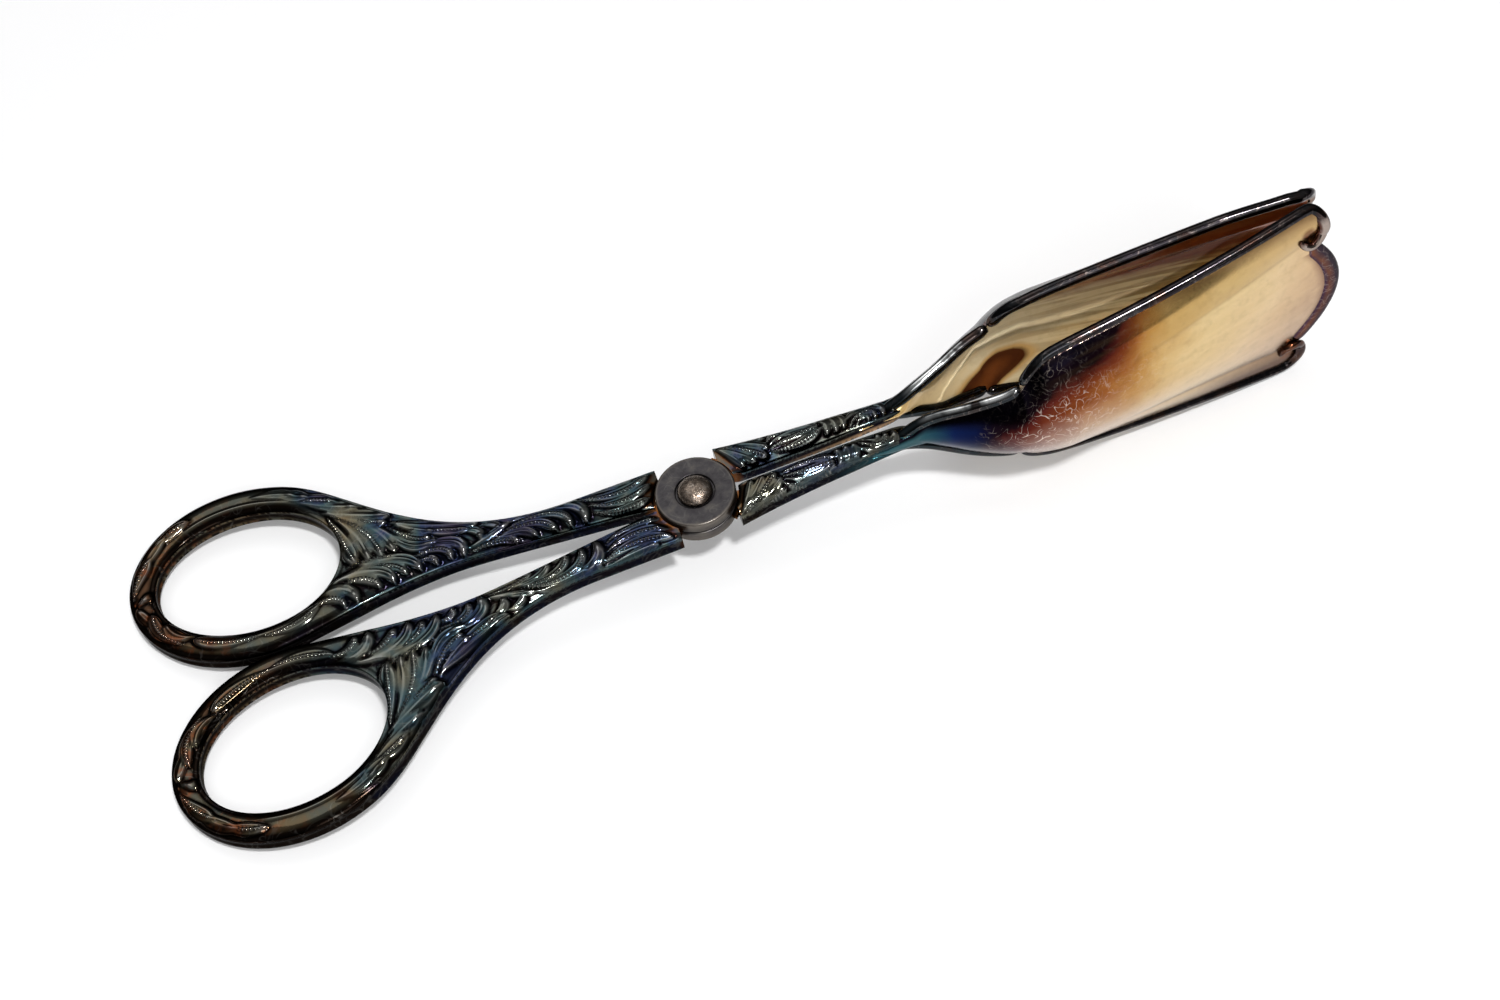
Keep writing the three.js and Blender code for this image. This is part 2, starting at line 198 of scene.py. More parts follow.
# The relief is drawn leaf by leaf. Each leaf has the four corners of its curved midrib from
# base to curled tip, its half width, its height, and 1 where a row of beads runs along it.
rear_leaves = [
    [(-18.2, 6.5), (-15.2, 5.2), (-10.6, 4.0), (-6.0, 6.3), 0.85, 0.42, 1],
    [(-16.9, 5.0), (-14.4, 3.1), (-10.0, 2.7), (-6.2, 4.6), 0.80, 0.42, 1],
    [(-16.4, 3.3), (-14.0, 1.6), (-10.4, 1.3), (-7.0, 2.2), 0.70, 0.40, 1],
    [(-17.2, 6.9), (-13.4, 6.6), (-11.2, 6.2), (-8.4, 6.5), 0.50, 0.36, 0],
    [(-30.5, 6.7), (-24.0, 8.4), (-16.0, 7.2), (-18.2, 1.9), 0.95, 0.50, 0],
    [(-31.2, 5.7), (-26.0, 7.3), (-19.6, 6.4), (-20.6, 2.1), 0.75, 0.46, 1],
    [(-32.6, 5.0), (-28.0, 6.4), (-22.8, 5.4), (-23.2, 2.0), 0.75, 0.44, 1],
    [(-34.6, 4.6), (-30.5, 5.5), (-26.0, 4.8), (-26.4, 2.3), 0.70, 0.42, 0],
    [(-37.6, 4.5), (-33.2, 4.9), (-29.6, 4.4), (-29.2, 2.8), 0.60, 0.40, 1],
    [(-39.0, 5.2), (-35.6, 4.7), (-33.0, 6.3), (-29.4, 7.0), 0.60, 0.38, 0],
    [(-46.6, 8.4), (-42.0, 9.0), (-36.4, 7.6), (-38.4, 4.2), 0.95, 0.50, 0],
    [(-46.2, 7.0), (-43.0, 7.9), (-39.2, 7.0), (-40.4, 4.5), 0.75, 0.44, 1],
    [(-46.6, 5.7), (-44.5, 6.5), (-42.2, 6.0), (-42.8, 4.4), 0.60, 0.40, 1],
    [(-38.6, 8.8), (-36.0, 8.7), (-33.8, 7.8), (-35.0, 6.0), 0.75, 0.44, 0],
    [(-34.8, 8.4), (-33.2, 8.4), (-31.2, 7.8), (-31.6, 6.5), 0.60, 0.38, 0],
    [(-48.0, 15.4), (-44.6, 12.9), (-40.0, 10.8), (-34.4, 9.0), 1.10, 0.46, 0],
    [(-46.6, 13.4), (-43.0, 11.0), (-39.0, 9.9), (-36.0, 8.5), 1.00, 0.44, 1],
    [(-49.4, 15.2), (-47.6, 11.4), (-46.4, 7.9), (-41.4, 8.5), 0.95, 0.50, 0],
    [(-48.6, 14.8), (-46.2, 11.8), (-44.8, 9.6), (-42.2, 9.7), 0.85, 0.40, 1],
    [(-47.8, 14.6), (-45.0, 12.8), (-43.4, 11.4), (-41.4, 10.5), 0.75, 0.42, 0],
    [(-57.2, 20.4), (-56.0, 16.5), (-55.8, 13.0), (-54.8, 9.6), 1.25, 0.46, 1],
    [(-56.5, 19.9), (-53.6, 16.6), (-52.7, 13.0), (-52.7, 9.4), 1.00, 0.42, 0],
    [(-55.7, 19.3), (-52.0, 16.0), (-50.8, 13.0), (-50.6, 9.2), 1.05, 0.44, 1],
    [(-54.5, 18.5), (-50.6, 16.0), (-49.0, 13.0), (-48.4, 9.4), 1.00, 0.42, 0],
    [(-58.0, 21.7), (-54.6, 19.8), (-51.4, 18.0), (-47.4, 16.5), 1.30, 0.50, 0],
    [(-56.8, 20.5), (-53.6, 18.3), (-51.0, 16.6), (-48.2, 15.4), 0.90, 0.42, 1],
    [(-59.6, 23.8), (-57.0, 22.5), (-55.0, 21.7), (-51.8, 20.3), 1.15, 0.44, 0],
    [(-62.6, 26.3), (-60.0, 25.2), (-58.0, 24.6), (-55.0, 22.8), 1.15, 0.42, 1],
    [(-65.2, 28.3), (-63.0, 27.5), (-61.5, 26.9), (-59.0, 25.5), 1.05, 0.38, 0],
    [(-57.2, 24.8), (-55.0, 23.8), (-53.0, 22.2), (-50.4, 20.0), 0.85, 0.38, 0],
    [(-52.6, 21.1), (-50.6, 19.8), (-49.0, 18.5), (-47.0, 17.0), 0.75, 0.36, 0],
    [(-64.6, 5.9), (-61.0, 7.5), (-56.2, 6.8), (-56.4, 2.9), 0.95, 0.48, 0],
    [(-64.0, 4.5), (-61.4, 5.9), (-58.4, 5.3), (-58.6, 2.9), 0.75, 0.42, 1],
    [(-61.2, 7.3), (-57.0, 9.0), (-49.6, 7.8), (-50.0, 3.9), 0.95, 0.48, 0],
    [(-58.6, 6.7), (-56.0, 7.5), (-52.6, 6.4), (-52.4, 4.0), 0.80, 0.42, 1],
    [(-57.2, 8.5), (-52.4, 9.7), (-45.6, 8.4), (-45.4, 4.4), 0.95, 0.48, 0],
    [(-54.6, 7.6), (-51.5, 8.2), (-48.0, 7.2), (-47.8, 4.6), 0.80, 0.42, 1],
    [(-56.9, 9.7), (-54.0, 10.0), (-51.5, 9.5), (-48.4, 8.6), 0.60, 0.36, 1],
    [(-72.0, 2.9), (-69.0, 2.7), (-66.0, 2.9), (-62.4, 4.9), 0.90, 0.33, 1],
    [(-72.6, 3.2), (-76.0, 3.6), (-80.0, 4.8), (-82.8, 7.0), 1.00, 0.33, 1],
    [(-82.0, 7.6), (-84.5, 7.8), (-86.2, 9.4), (-86.4, 11.8), 1.10, 0.33, 0],
    [(-84.6, 7.0), (-87.0, 9.0), (-88.8, 11.0), (-88.0, 14.4), 1.00, 0.33, 1],
    [(-86.8, 9.4), (-88.2, 12.5), (-89.8, 13.8), (-90.4, 16.4), 0.80, 0.27, 0],
    [(-90.2, 16.8), (-88.8, 17.8), (-88.0, 18.2), (-87.0, 17.4), 0.75, 0.35, 0],
    [(-90.6, 18.4), (-89.6, 21.0), (-88.6, 23.0), (-86.4, 24.8), 1.05, 0.33, 1],
    [(-89.4, 20.5), (-88.4, 23.6), (-86.6, 26.2), (-83.2, 27.9), 1.05, 0.33, 0],
    [(-86.0, 25.4), (-84.6, 27.2), (-82.6, 28.8), (-79.0, 29.3), 0.95, 0.33, 1],
    [(-68.4, 29.4), (-65.6, 29.0), (-63.5, 28.3), (-61.0, 26.8), 0.85, 0.33, 0],
]
front_leaves = [
    [(5.6, -6.6), (7.4, -4.8), (8.2, -2.8), (9.2, -1.5), 0.60, 0.38, 0],
    [(6.0, -6.5), (8.4, -4.8), (10.0, -2.8), (11.2, -1.5), 0.70, 0.42, 0],
    [(6.4, -6.5), (9.2, -5.3), (11.6, -3.2), (13.2, -1.7), 0.80, 0.44, 1],
    [(7.0, -6.5), (9.6, -6.1), (12.4, -4.8), (13.8, -3.0), 0.75, 0.42, 0],
    [(8.6, -6.3), (10.4, -6.1), (12.0, -5.8), (13.8, -5.0), 0.50, 0.34, 1],
    [(13.5, -3.5), (14.8, -6.4), (19.0, -6.1), (22.8, -4.2), 0.85, 0.44, 1],
    [(13.9, -3.3), (16.0, -5.0), (19.5, -5.0), (22.6, -3.9), 0.70, 0.40, 0],
    [(14.0, -2.9), (16.5, -3.5), (20.0, -3.7), (22.8, -3.7), 0.65, 0.42, 1],
    [(14.2, -2.3), (17.0, -1.8), (20.5, -1.7), (23.2, -3.2), 0.65, 0.40, 1],
    [(22.3, -4.8), (23.8, -4.6), (24.6, -3.4), (23.4, -1.6), 0.65, 0.42, 0],
    [(23.0, -5.1), (25.2, -4.9), (26.0, -3.4), (25.0, -1.5), 0.70, 0.42, 0],
    [(24.4, -5.0), (26.6, -4.7), (27.2, -3.4), (26.4, -1.6), 0.60, 0.40, 0],
    [(26.2, -1.6), (28.2, -5.3), (34.8, -5.5), (33.4, -1.6), 0.80, 0.44, 0],
    [(27.4, -1.5), (29.2, -4.0), (33.0, -4.1), (31.9, -1.5), 0.65, 0.42, 1],
    [(28.6, -1.5), (29.8, -2.8), (31.6, -2.9), (30.6, -1.5), 0.50, 0.38, 0],
    [(33.8, -4.3), (35.0, -4.1), (35.6, -3.3), (35.2, -1.8), 0.60, 0.34, 0],
]
leaf_fullness, leaf_point, rib_depth, base_rise, ground_depth = 1.34, 1.8, 0.30, 0.45, 0.20
pearl_rise, pearl_place, pearl_length, pearl_width = 0.35, 0.88, 0.07, 0.5
bead_half, bead_end, leaf_foot = 0.24, 0.9, (0.02, 0.20)


def leaf_relief(x, y, leaves):
    """Height of overlapping leaves. Across its midrib a leaf is a dome with three ribs, a power of
    one minus the square of the way to its edge; its width runs as sin(pi s^1.8)^0.5, pointed at
    the base and round at the tip, and it rises toward a pearl at the tip. Where leaves overlap the
    higher one shows. Also gives the bead rows and the run along their midribs."""
    share = np.linspace(0, 1, 60)
    height, beads, run = np.zeros((3, *x.shape))
    for *corners, half, lift, beaded in leaves:
        rib = bezier(corners, share)
        full = leaf_fullness * half
        low, high = rib.min(axis=0) - full, rib.max(axis=0) + full
        near = np.nonzero((x > low[0]) & (x < high[0]) & (y > low[1]) & (y < high[1]))
        off = np.stack([x[near], y[near]], axis=-1)[:, None, :] - rib
        place = np.argmin((off**2).sum(axis=-1), axis=1)
        way = unit(np.gradient(rib, axis=0))[place]
        length = run_along(rib)[-1]
        off = off[np.arange(len(place)), place]
        along = np.clip(share[place] + (off * way).sum(axis=1) / length, 0, 1)
        across = off[:, 0] * way[:, 1] - off[:, 1] * way[:, 0]
        width = full * np.sin(np.pi * np.clip(along, 1e-6, 1 - 1e-6) ** leaf_point) ** 0.5 + 1e-6
        side = np.minimum(np.abs(across) / width, 1)
        dome = (1 - side**2) ** 0.5 * (1 - rib_depth * (0.5 - 0.5 * np.cos(3 * np.pi * side)))
        pearl = bell((along - pearl_place) / pearl_length, across / (pearl_width * full))
        rise = lift * dome * (base_rise + (1 - base_rise) * along + pearl_rise * pearl)
        above = rise > height[near]
        there = tuple(axis[above] for axis in near)
        height[there] = rise[above]
        beads[there] = beaded * bell(across[above] / bead_half) * (along[above] < bead_end)
        run[there] = along[above] * length
    return height, beads, run


def smoothed(height):
    """Each point averaged with its neighbours along and across the strip, as casting softens."""
    for axis, count in enumerate(height.shape):
        padded = np.pad(height, [(1, 1) if axis == k else (0, 0) for k in (0, 1)], mode="edge")
        around = padded.take(range(count), axis) + padded.take(range(2, count + 2), axis)
        height = 0.5 * height + 0.25 * around
    return height


def groove_share(relief, smoothings=7, depth=0.09):
    """0 in a groove, 1 on a ridge: a height less its own average over several smoothings."""
    mean = relief
    for _ in range(smoothings):
        mean = smoothed(mean)
    return 0.5 + 0.5 * np.clip((relief - mean) / depth, -1, 1)


def ground(leaves):
    """Depth of the ground between the leaves, which comes up where a leaf begins to rise."""
    return ground_depth * (1 - eased(leaves, *leaf_foot))


centre_rows, lower_rows, ring_rows, upper_rows, band_columns = 250, 80, 200, 66, 44
inner_turn, outer_turn = -51.0, -49.5
disc_ease, crest_run, waist_run = 7.2, 15.4, 26.0
inner_fork_run, outer_fork_run = 7.6, 12.2

# Edges of the rear shank in plan, from the disc to the ring on both sides.
fine = np.linspace(0, 1, 400)
inner_fork = oval(fork_inner, ring_centre, ring_long, ring_short)
outer_fork = oval(fork_outer, ring_centre, ring_long, ring_short)
inner_edge = np.concatenate([
    bezier([(-disc_radius / 2, shank_spread), (-disc_radius / 2 - disc_ease, shank_spread),
            (crest_x + disc_ease, crest_y), (crest_x, crest_y)], fine)[:-1],
    bezier([(crest_x, crest_y), (crest_x - crest_run, crest_y),
            inner_fork + inner_fork_run * oval_way(fork_inner), inner_fork], fine)])
inner_edge = inner_edge[inner_edge[:, 0] <= -rear_shoulder]
outer_edge = np.concatenate([
    [(-rear_shoulder, shoulder)],
    bezier([(-waist_reach, waist_outer), (-waist_reach - waist_run, waist_outer),
            outer_fork - outer_fork_run * oval_way(fork_outer), outer_fork], fine)])

# The plan is one strip that runs along the inner edge, round the ring and back along the outer
# edge. Its far side follows the shank's middle line and the hole, so the seam lies in the middle.
inner_share, outer_share = share_at(inner_edge, inner_turn), share_at(outer_edge, outer_turn)
middle = bezier([(-rear_shoulder, 3.75), (-28.0, 3.2), (-45.0, 9.2),
                 oval(0.0, hole_centre, hole_long, hole_short)], np.linspace(0, 1, centre_rows))
lower_angle = np.linspace(0, fork_inner, lower_rows + 1)[1:]
ring_angle = np.linspace(fork_inner, fork_outer - 2 * np.pi, ring_rows + 1)[1:-1]
upper_angle = np.linspace(fork_outer, 0, upper_rows + 1)[:-1]
hole_angle = np.concatenate([lower_angle, ring_angle, upper_angle])
core = np.concatenate([middle, oval(hole_angle, hole_centre, hole_long, hole_short), middle[::-1]])
edge = np.concatenate([
    spaced(inner_edge, np.linspace(0, inner_share, centre_rows)),
    spaced(inner_edge, np.linspace(inner_share, 1, lower_rows + 1)[1:]),
    oval(ring_angle, ring_centre, ring_long, ring_short),
    spaced(outer_edge, np.linspace(1, outer_share, upper_rows + 1)[:-1]),
    spaced(outer_edge, np.linspace(outer_share, 0, centre_rows))])
edge_in = sideways(np.gradient(edge, axis=0), core - edge)
band = gathered(band_columns)
plan = edge[:, None, :] + band[None, :, None] * (core - edge)[:, None, :]
edge_depth = band[None, :] * np.abs(((core - edge) * edge_in).sum(axis=1))[:, None]

wall_rows, wall_hollow, hollow_fade = 6, 0.22, 6
end_height, end_round, beside_disc = 0.62, 2.2, (0.1, 2.0)
# Painted shade: a low leaf share paints the plain walls near black.
shade_painted_wall = {"leaf_groove": 0.1}


def drawn_to_disc(x, y, shoulder_x):
    """Moves the end of a shank on to the round clearance of the other arm's disc: at the
    shoulder x becomes the clearance circle's, and the shift dies away within 8 mm."""
    round_x = np.sqrt(np.clip(turning_radius**2 - y**2, 0, None))
    shift = np.maximum(round_x, shoulder_x) - shoulder_x
    return x + np.sign(x) * shift * (1 - eased(np.abs(x), shoulder_x, shoulder_x + shoulder_fade))


def both_faces(x, y, wall, crown, relief, slope_upper, slope_lower):
    """Upper and lower face of a shank. Both stand the wall's half height plus crown and relief
    from the middle, less the slope to one edge. The upper one is rounded off toward the other
    arm's disc, and the lower one sinks to the bare wall in a hollow beside its own."""
    from_disc = np.hypot(x, y) - turning_radius
    end = rounded(from_disc, end_round)
    upper = wall * (end_height + (1 - end_height) * end) + (crown + relief - slope_upper) * end
    lower = -wall - (crown + relief - slope_lower) * eased(from_disc, *beside_disc)
    return np.stack([x, y, upper], axis=-1), np.stack([x, y, lower], axis=-1)


def side_wall(upper, lower, inward=np.zeros((1, 2))):
    """Wall between the edges of two faces, hollowed inward by a parabola over its height. The
    hollow fades out over six rows at either end, so that the wall meets its neighbours."""
    q = np.linspace(0, 1, wall_rows)[None, :, None]
    wall = upper[:, None, :] * (1 - q) + lower[:, None, :] * q
    row = np.arange(len(upper))
    faded = wall_hollow * np.minimum(np.minimum(row, row[::-1]) / hollow_fade, 1)[:, None, None]
    wall[..., :2] += faded * 4 * q * (1 - q) * inward[:, None, :]
    return wall


def rear_surfaces():
    """Ring and rear shank: two faces, the outer wall, the wall of the hole and two ends."""
    fork_zone, rounding_zone, end_zone = (57, 63), (56, 66), (80, 90)
    roll_fade, carving_zone, slope_fade, bare_rim = (78, 82), (76, 83), (50, 62), (0.05, 0.7)
    roll_rise, roll_depth, roll_half, roll_limit = 0.20, 1.5, 0.32, 4.0
    slope_width, slope_share, flank_zone, flank_shade, rim_reflection = 2.8, 0.92, (0.5, 1.7), 0.75, 0.5
    x, y = drawn_to_disc(plan[..., 0], plan[..., 1], rear_shoulder), plan[..., 1]
    at = (np.stack([x, y], axis=-1) - hole_centre) @ slanted.T
    rho = np.hypot(at[..., 0] / hole_long, at[..., 1] / hole_short)
    hole_depth = np.hypot(at[..., 0], at[..., 1]) * np.clip(1 - 1 / rho, 0, None)
    on_ring = eased(-x, *fork_zone)
    round_ring = ring_rounding * eased(-x, *rounding_zone)
    crown = (shank_crown + round_ring) * rounded(edge_depth, edge_round)
    crown *= rounded(hole_depth, edge_round) * (1 - end_thinning * eased(-x, *end_zone))
    leaves, beads, run = leaf_relief(x, y, rear_leaves)
    roll = roll_rise * bell((hole_depth - roll_depth) / roll_half) * (hole_depth < roll_limit)
    roll *= on_ring * (1 - eased(-x, *roll_fade))
    carved_part = 1 - on_ring * (1 - eased(-x, *carving_zone))
    relief = smoothed(np.maximum(leaves, roll) - ground(leaves) * carved_part)
    relief *= eased(edge_depth, *bare_rim) * eased(hole_depth, *bare_rim)
    slope_reach = np.minimum(slope_width, slope_share * edge_depth[:, -1:])
    slope = edge_slope * (1 - rounded(edge_depth, slope_reach)) * (1 - eased(-x, *slope_fade))
    inner_side = (np.arange(len(core)) < centre_rows + lower_rows)[:, None]
    upper, lower = both_faces(x, y, wall_half - round_ring, crown, relief,
                              slope * inner_side, slope * ~inner_side)
    for face in (upper, lower):
        seam = (face[:centre_rows, -1] + face[-centre_rows:, -1][::-1]) / 2
        face[:centre_rows, -1], face[-centre_rows:, -1] = seam, seam[::-1]
    holed = slice(centre_rows - 1, len(core) - centre_rows + 1)
    hole_way = np.diff(core, axis=0, append=core[-1:])
    hole_in = sideways(hole_way[holed], (core - hole_centre)[holed])
    # Painted shade: on the ring the leaf share is lowered within about 1.7 mm of either edge, which paints
    # the flanks dark.
    flank = eased(np.minimum(edge_depth, hole_depth), *flank_zone)
    groove_and_flank_shade = groove_share(relief) * (1 - flank_shade * on_ring * (1 - flank))
    leafy = {"leaf_groove": groove_and_flank_shade, "bead_row": beads, "bead_run": run}
    # Painted reflection: the hole's wall is painted paler toward its upper and lower edges.
    hole_wall_reflection = {"leaf_groove": shade_painted_wall["leaf_groove"] + rim_reflection * np.linspace(-1, 1, wall_rows) ** 2}
    return [(upper, leafy), (lower, leafy),
            (side_wall(upper[:, 0], lower[:, 0], edge_in), shade_painted_wall),
            (side_wall(upper[holed, -1], lower[holed, -1], hole_in), hole_wall_reflection),
            (side_wall(upper[0], lower[0]), shade_painted_wall), (side_wall(upper[-1], lower[-1]), shade_painted_wall)]


def shank_outer(x):
    """How far out the front shank's outer side stands: from the shoulder it closes in on the neck
    as the square of the way left."""
    left = np.clip((neck_reach - x) / (neck_reach - front_shoulder), 0, 1)
    return neck_outer + (shoulder - neck_outer) * left**2


def front_surfaces():
    """Front shank: two faces, the inner and the outer wall and two ends. Its nose is thinned and
    rounded in plan, where the jaw's root laps it."""
    front_rows, front_columns, front_end = 190, 42, neck_reach + 0.6
    nose_narrowing, nose_plan, nose_length, bare_rim = 0.9, 3.0, 4.5, (0.05, 0.6)
    front_slope, slope_width, front_relief, nose_height = 1.5 * edge_slope, 2.4, 0.9, 0.5
    slope_zone, slope_loss, thin_zone, thinning = (22, 32), 0.85, (24, 36), 0.5
    gilt_zone, gilt_height, teal_zone = (12, 32), (0.05, 0.35), (20, 33)
    u = np.linspace(0, 1, front_rows)[:, None]
    t = gathered(front_columns)[None, :]
    x = front_shoulder + (front_end - front_shoulder) * u + 0 * t
    outer = shank_outer(x)
    inner = front_spread + nose_narrowing * (1 - rounded(front_end - x, nose_plan))
    y = -inner - (outer - inner) * t
    x = drawn_to_disc(x, y, front_shoulder)
    depth_in, depth_out = (outer - front_spread) * t, (outer - front_spread) * (1 - t)
    crown = shank_crown * rounded(depth_in, edge_round) * rounded(depth_out, edge_round)
    leaves, beads, run = leaf_relief(x, y, front_leaves)
    relief = smoothed(front_relief * leaves - ground(leaves))
    relief *= eased(depth_in, *bare_rim) * eased(depth_out, *bare_rim)
    fall = front_slope * (1 - slope_loss * eased(x, *slope_zone))
    upper, lower = both_faces(x, y, wall_half - thinning * eased(x, *thin_zone), crown, relief,
                              fall * (1 - rounded(depth_out, slope_width)),
                              fall * (1 - rounded(depth_in, slope_width)))
    for face in (upper, lower):
        face[..., 2] *= nose_height + (1 - nose_height) * rounded(front_end - x, nose_length)
    inner_wall = side_wall(upper[:, 0], lower[:, 0], np.array([[0.0, -1.0]]))
    outer_wall = side_wall(upper[:, -1], lower[:, -1], np.array([[0.0, 1.0]]))
    leafy = {"leaf_groove": groove_share(relief), "bead_row": beads, "bead_run": run}
    high = 1 - eased(np.linspace(0, 1, wall_rows), *gilt_height)
    gilt = {"gilt_wall": eased(inner_wall[..., 0], *gilt_zone) * high}
    teal = {"teal_wall": eased(outer_wall[..., 0], *teal_zone)}
    return [(upper, leafy), (lower, leafy),
            (inner_wall, {**shade_painted_wall, **gilt}), (outer_wall, {**shade_painted_wall, **teal}),
            (side_wall(upper[0], lower[0]), shade_painted_wall), (side_wall(upper[-1], lower[-1]), shade_painted_wall)]


def disc_surfaces():
    """Lap disc and the two low necks that join it to the shanks, all turned round the rivet; each
    neck is closed by a cap at either end."""
    disc_profile = [(2.0, -0.2), (6.35, -0.2), (6.53, -0.27), (6.6, -0.45), (6.6, -2.1), (6.53, -2.28),
                    (6.35, -2.36), (6.3, -2.36), (3.42, -2.36), (3.36, -2.36), (3.24, -2.31),
                    (3.2, -2.2), (3.2, -1.96), (2.0, -1.96), (2.0, -0.2)]
    neck_profile = [(5.8, -0.3), (7.4, -0.3), (7.4, -1.18), (7.0, -1.1), (6.7, -1.1), (5.8, -1.1),
                    (5.8, -0.3)]
    rear_neck, front_neck, disc_steps, neck_steps = (176, 128), (-9, -50), 129, 24
    surfaces = [(revolved(disc_profile, np.linspace(0, 2 * np.pi, disc_steps)), {"lap_disc": 1.0})]
    for first, last in (rear_neck, front_neck):
        neck = revolved(neck_profile, np.radians(np.linspace(first, last, neck_steps)))
        caps = [np.stack([end[:3], end[[5, 4, 3]]]) for end in (neck[0], neck[-1])]
        surfaces += [(grid, {}) for grid in [neck] + caps]
    return surfaces


def link(value, socket):
    """Links a value to a socket, or sets it there where it is a constant. Colours get alpha 1."""
    if isinstance(value, bpy.types.NodeSocket):
        socket.id_data.links.new(value, socket)
    elif socket.type == "RGBA":
        socket.default_value = (*value, 1)
    else:
        socket.default_value = value


def add_node(tree, kind, inputs=None, **settings):
    """A shader node with its settings made and its inputs set or linked."""
    node = tree.nodes.new(kind)
    for name, value in settings.items():
        setattr(node, name, value)
    for name, value in (inputs or {}).items():
        link(value, node.inputs[name])
    return node


def tree_of(*values):
    """The node tree that holds the first linked value among these."""
    return next(value.id_data for value in values if isinstance(value, bpy.types.NodeSocket))


def colour_ramp(share, stops):
    """Colours blended along a share from 0 to 1; each stop is a place and a linear colour."""
    ramp = add_node(share.id_data, "ShaderNodeValToRGB", {"Fac": share})
    while len(ramp.color_ramp.elements) < len(stops):
        ramp.color_ramp.elements.new(0.5)
    for element, (place, colour) in zip(ramp.color_ramp.elements, stops):
        element.position = place
        element.color = (*colour, 1)
    return ramp.outputs["Color"]


def blend(share, under, over, way="MIX"):
    """Two colours mixed by a share; the mix node's colour sockets are its seventh and eighth."""
    mix = add_node(tree_of(share, under, over), "ShaderNodeMix", {0: share, 6: under, 7: over},
                   data_type="RGBA", blend_type=way)
    return mix.outputs[2]


def layered(colour, *layers):
    """Layers of colour laid on a ground one after another, each with its share."""
    for share, over in layers:
        colour = blend(share, colour, over)
    return colour


def sums(first, second, way="ADD", clamp=False):
    """One step of arithmetic between two values, addition unless another is named."""
    node = add_node(tree_of(first, second), "ShaderNodeMath", {0: first, 1: second},
                    operation=way, use_clamp=clamp)
    return node.outputs["Value"]


def product(first, *others):
    """All values multiplied together."""
    for other in others:
        first = sums(first, other, "MULTIPLY")
    return first


def spread(value, low, high, start=0.0, end=1.0):
    """A value between low and high laid out between start and end, and held there."""
    node = add_node(value.id_data, "ShaderNodeMapRange", {
        "Value": value, "From Min": low, "From Max": high, "To Min": start, "To Max": end})
    return node.outputs["Result"]


def noise(place, scale, detail, roughness=0.5, distortion=0.0):
    """Cloudy noise from 0 to 1 over a place."""
    node = add_node(place.id_data, "ShaderNodeTexNoise", {
        "Vector": place, "Scale": scale, "Detail": detail, "Roughness": roughness,
        "Distortion": distortion})
    return node.outputs["Fac"]


def field(tree, name):
    """A value that the mesh carries."""
    return add_node(tree, "ShaderNodeAttribute", attribute_name=name).outputs["Fac"]


def object_place(tree):
    """The place on a piece, in metres of the shared frame."""
    return add_node(tree, "ShaderNodeTexCoord").outputs["Object"]


def along_x(place):
    """How far along the tongs a place lies."""
    return add_node(place.id_data, "ShaderNodeSeparateXYZ", {"Vector": place}).outputs["X"]


def bumped(height, strength, distance):
    """The surface's direction as changed by a fine height."""
    node = add_node(height.id_data, "ShaderNodeBump", {
        "Height": height, "Strength": strength, "Distance": distance})
    return node.outputs["Normal"]


def new_group(name, values, outputs):
    """An empty shader group with named value inputs and outputs, and the sockets at its ends."""
    group = bpy.data.node_groups.new(name, "ShaderNodeTree")
    for label, default in values.items():
        socket = group.interface.new_socket(label, in_out="INPUT", socket_type="NodeSocketFloat")
        socket.default_value = default
    for label, kind in outputs.items():
        group.interface.new_socket(label, in_out="OUTPUT", socket_type=kind)
    return group, group.nodes.new("NodeGroupInput").outputs, group.nodes.new("NodeGroupOutput").inputs


def place_group(tree, group, **values):
    """A shared group placed in a material with its own values."""
    node = tree.nodes.new("ShaderNodeGroup")
    node.node_tree = group
    for label, value in values.items():
        link(value, node.inputs[label.replace("_", " ")])
    return node.outputs


def new_finish(name):
    """A material with its own shader left in it, and the tree to build on."""
    look = bpy.data.materials.new(name)
    look.use_nodes = True
    return look, look.node_tree


def dress(tree, inputs):
    """Sets or links the inputs of a material's own shader."""
    for name, value in inputs.items():
        link(value, tree.nodes["Principled BSDF"].inputs[name])


# Tarnish film: silver sulphide in bands of straw, brown, purple, blue and grey, drifting over
# the surface in cloudy patches.
tarnish, tarnish_in, tarnish_out = new_group(
    "tarnish film", {"Patch Size": 0.012, "Shift": 0.0, "Range": 1.0},
    {"Colour": "NodeSocketColor", "Patch": "NodeSocketFloat"})
place = object_place(tarnish)
clouds = noise(place, sums(1.0, tarnish_in["Patch Size"], "DIVIDE"), 3.0, 0.55, 0.6)
drift = product(spread(clouds, 0.28, 0.72), tarnish_in["Range"])
drift = sums(drift, tarnish_in["Shift"], clamp=True)
film = colour_ramp(drift, [
    (0.00, (0.085, 0.040, 0.018)), (0.14, (0.130, 0.094, 0.048)), (0.28, (0.110, 0.100, 0.066)),
    (0.42, (0.078, 0.088, 0.074)), (0.56, (0.034, 0.064, 0.070)), (0.70, (0.020, 0.032, 0.072)),
    (0.84, (0.042, 0.032, 0.058)), (1.00, (0.092, 0.078, 0.068))])
link(film, tarnish_out["Colour"])
link(drift, tarnish_out["Patch"])

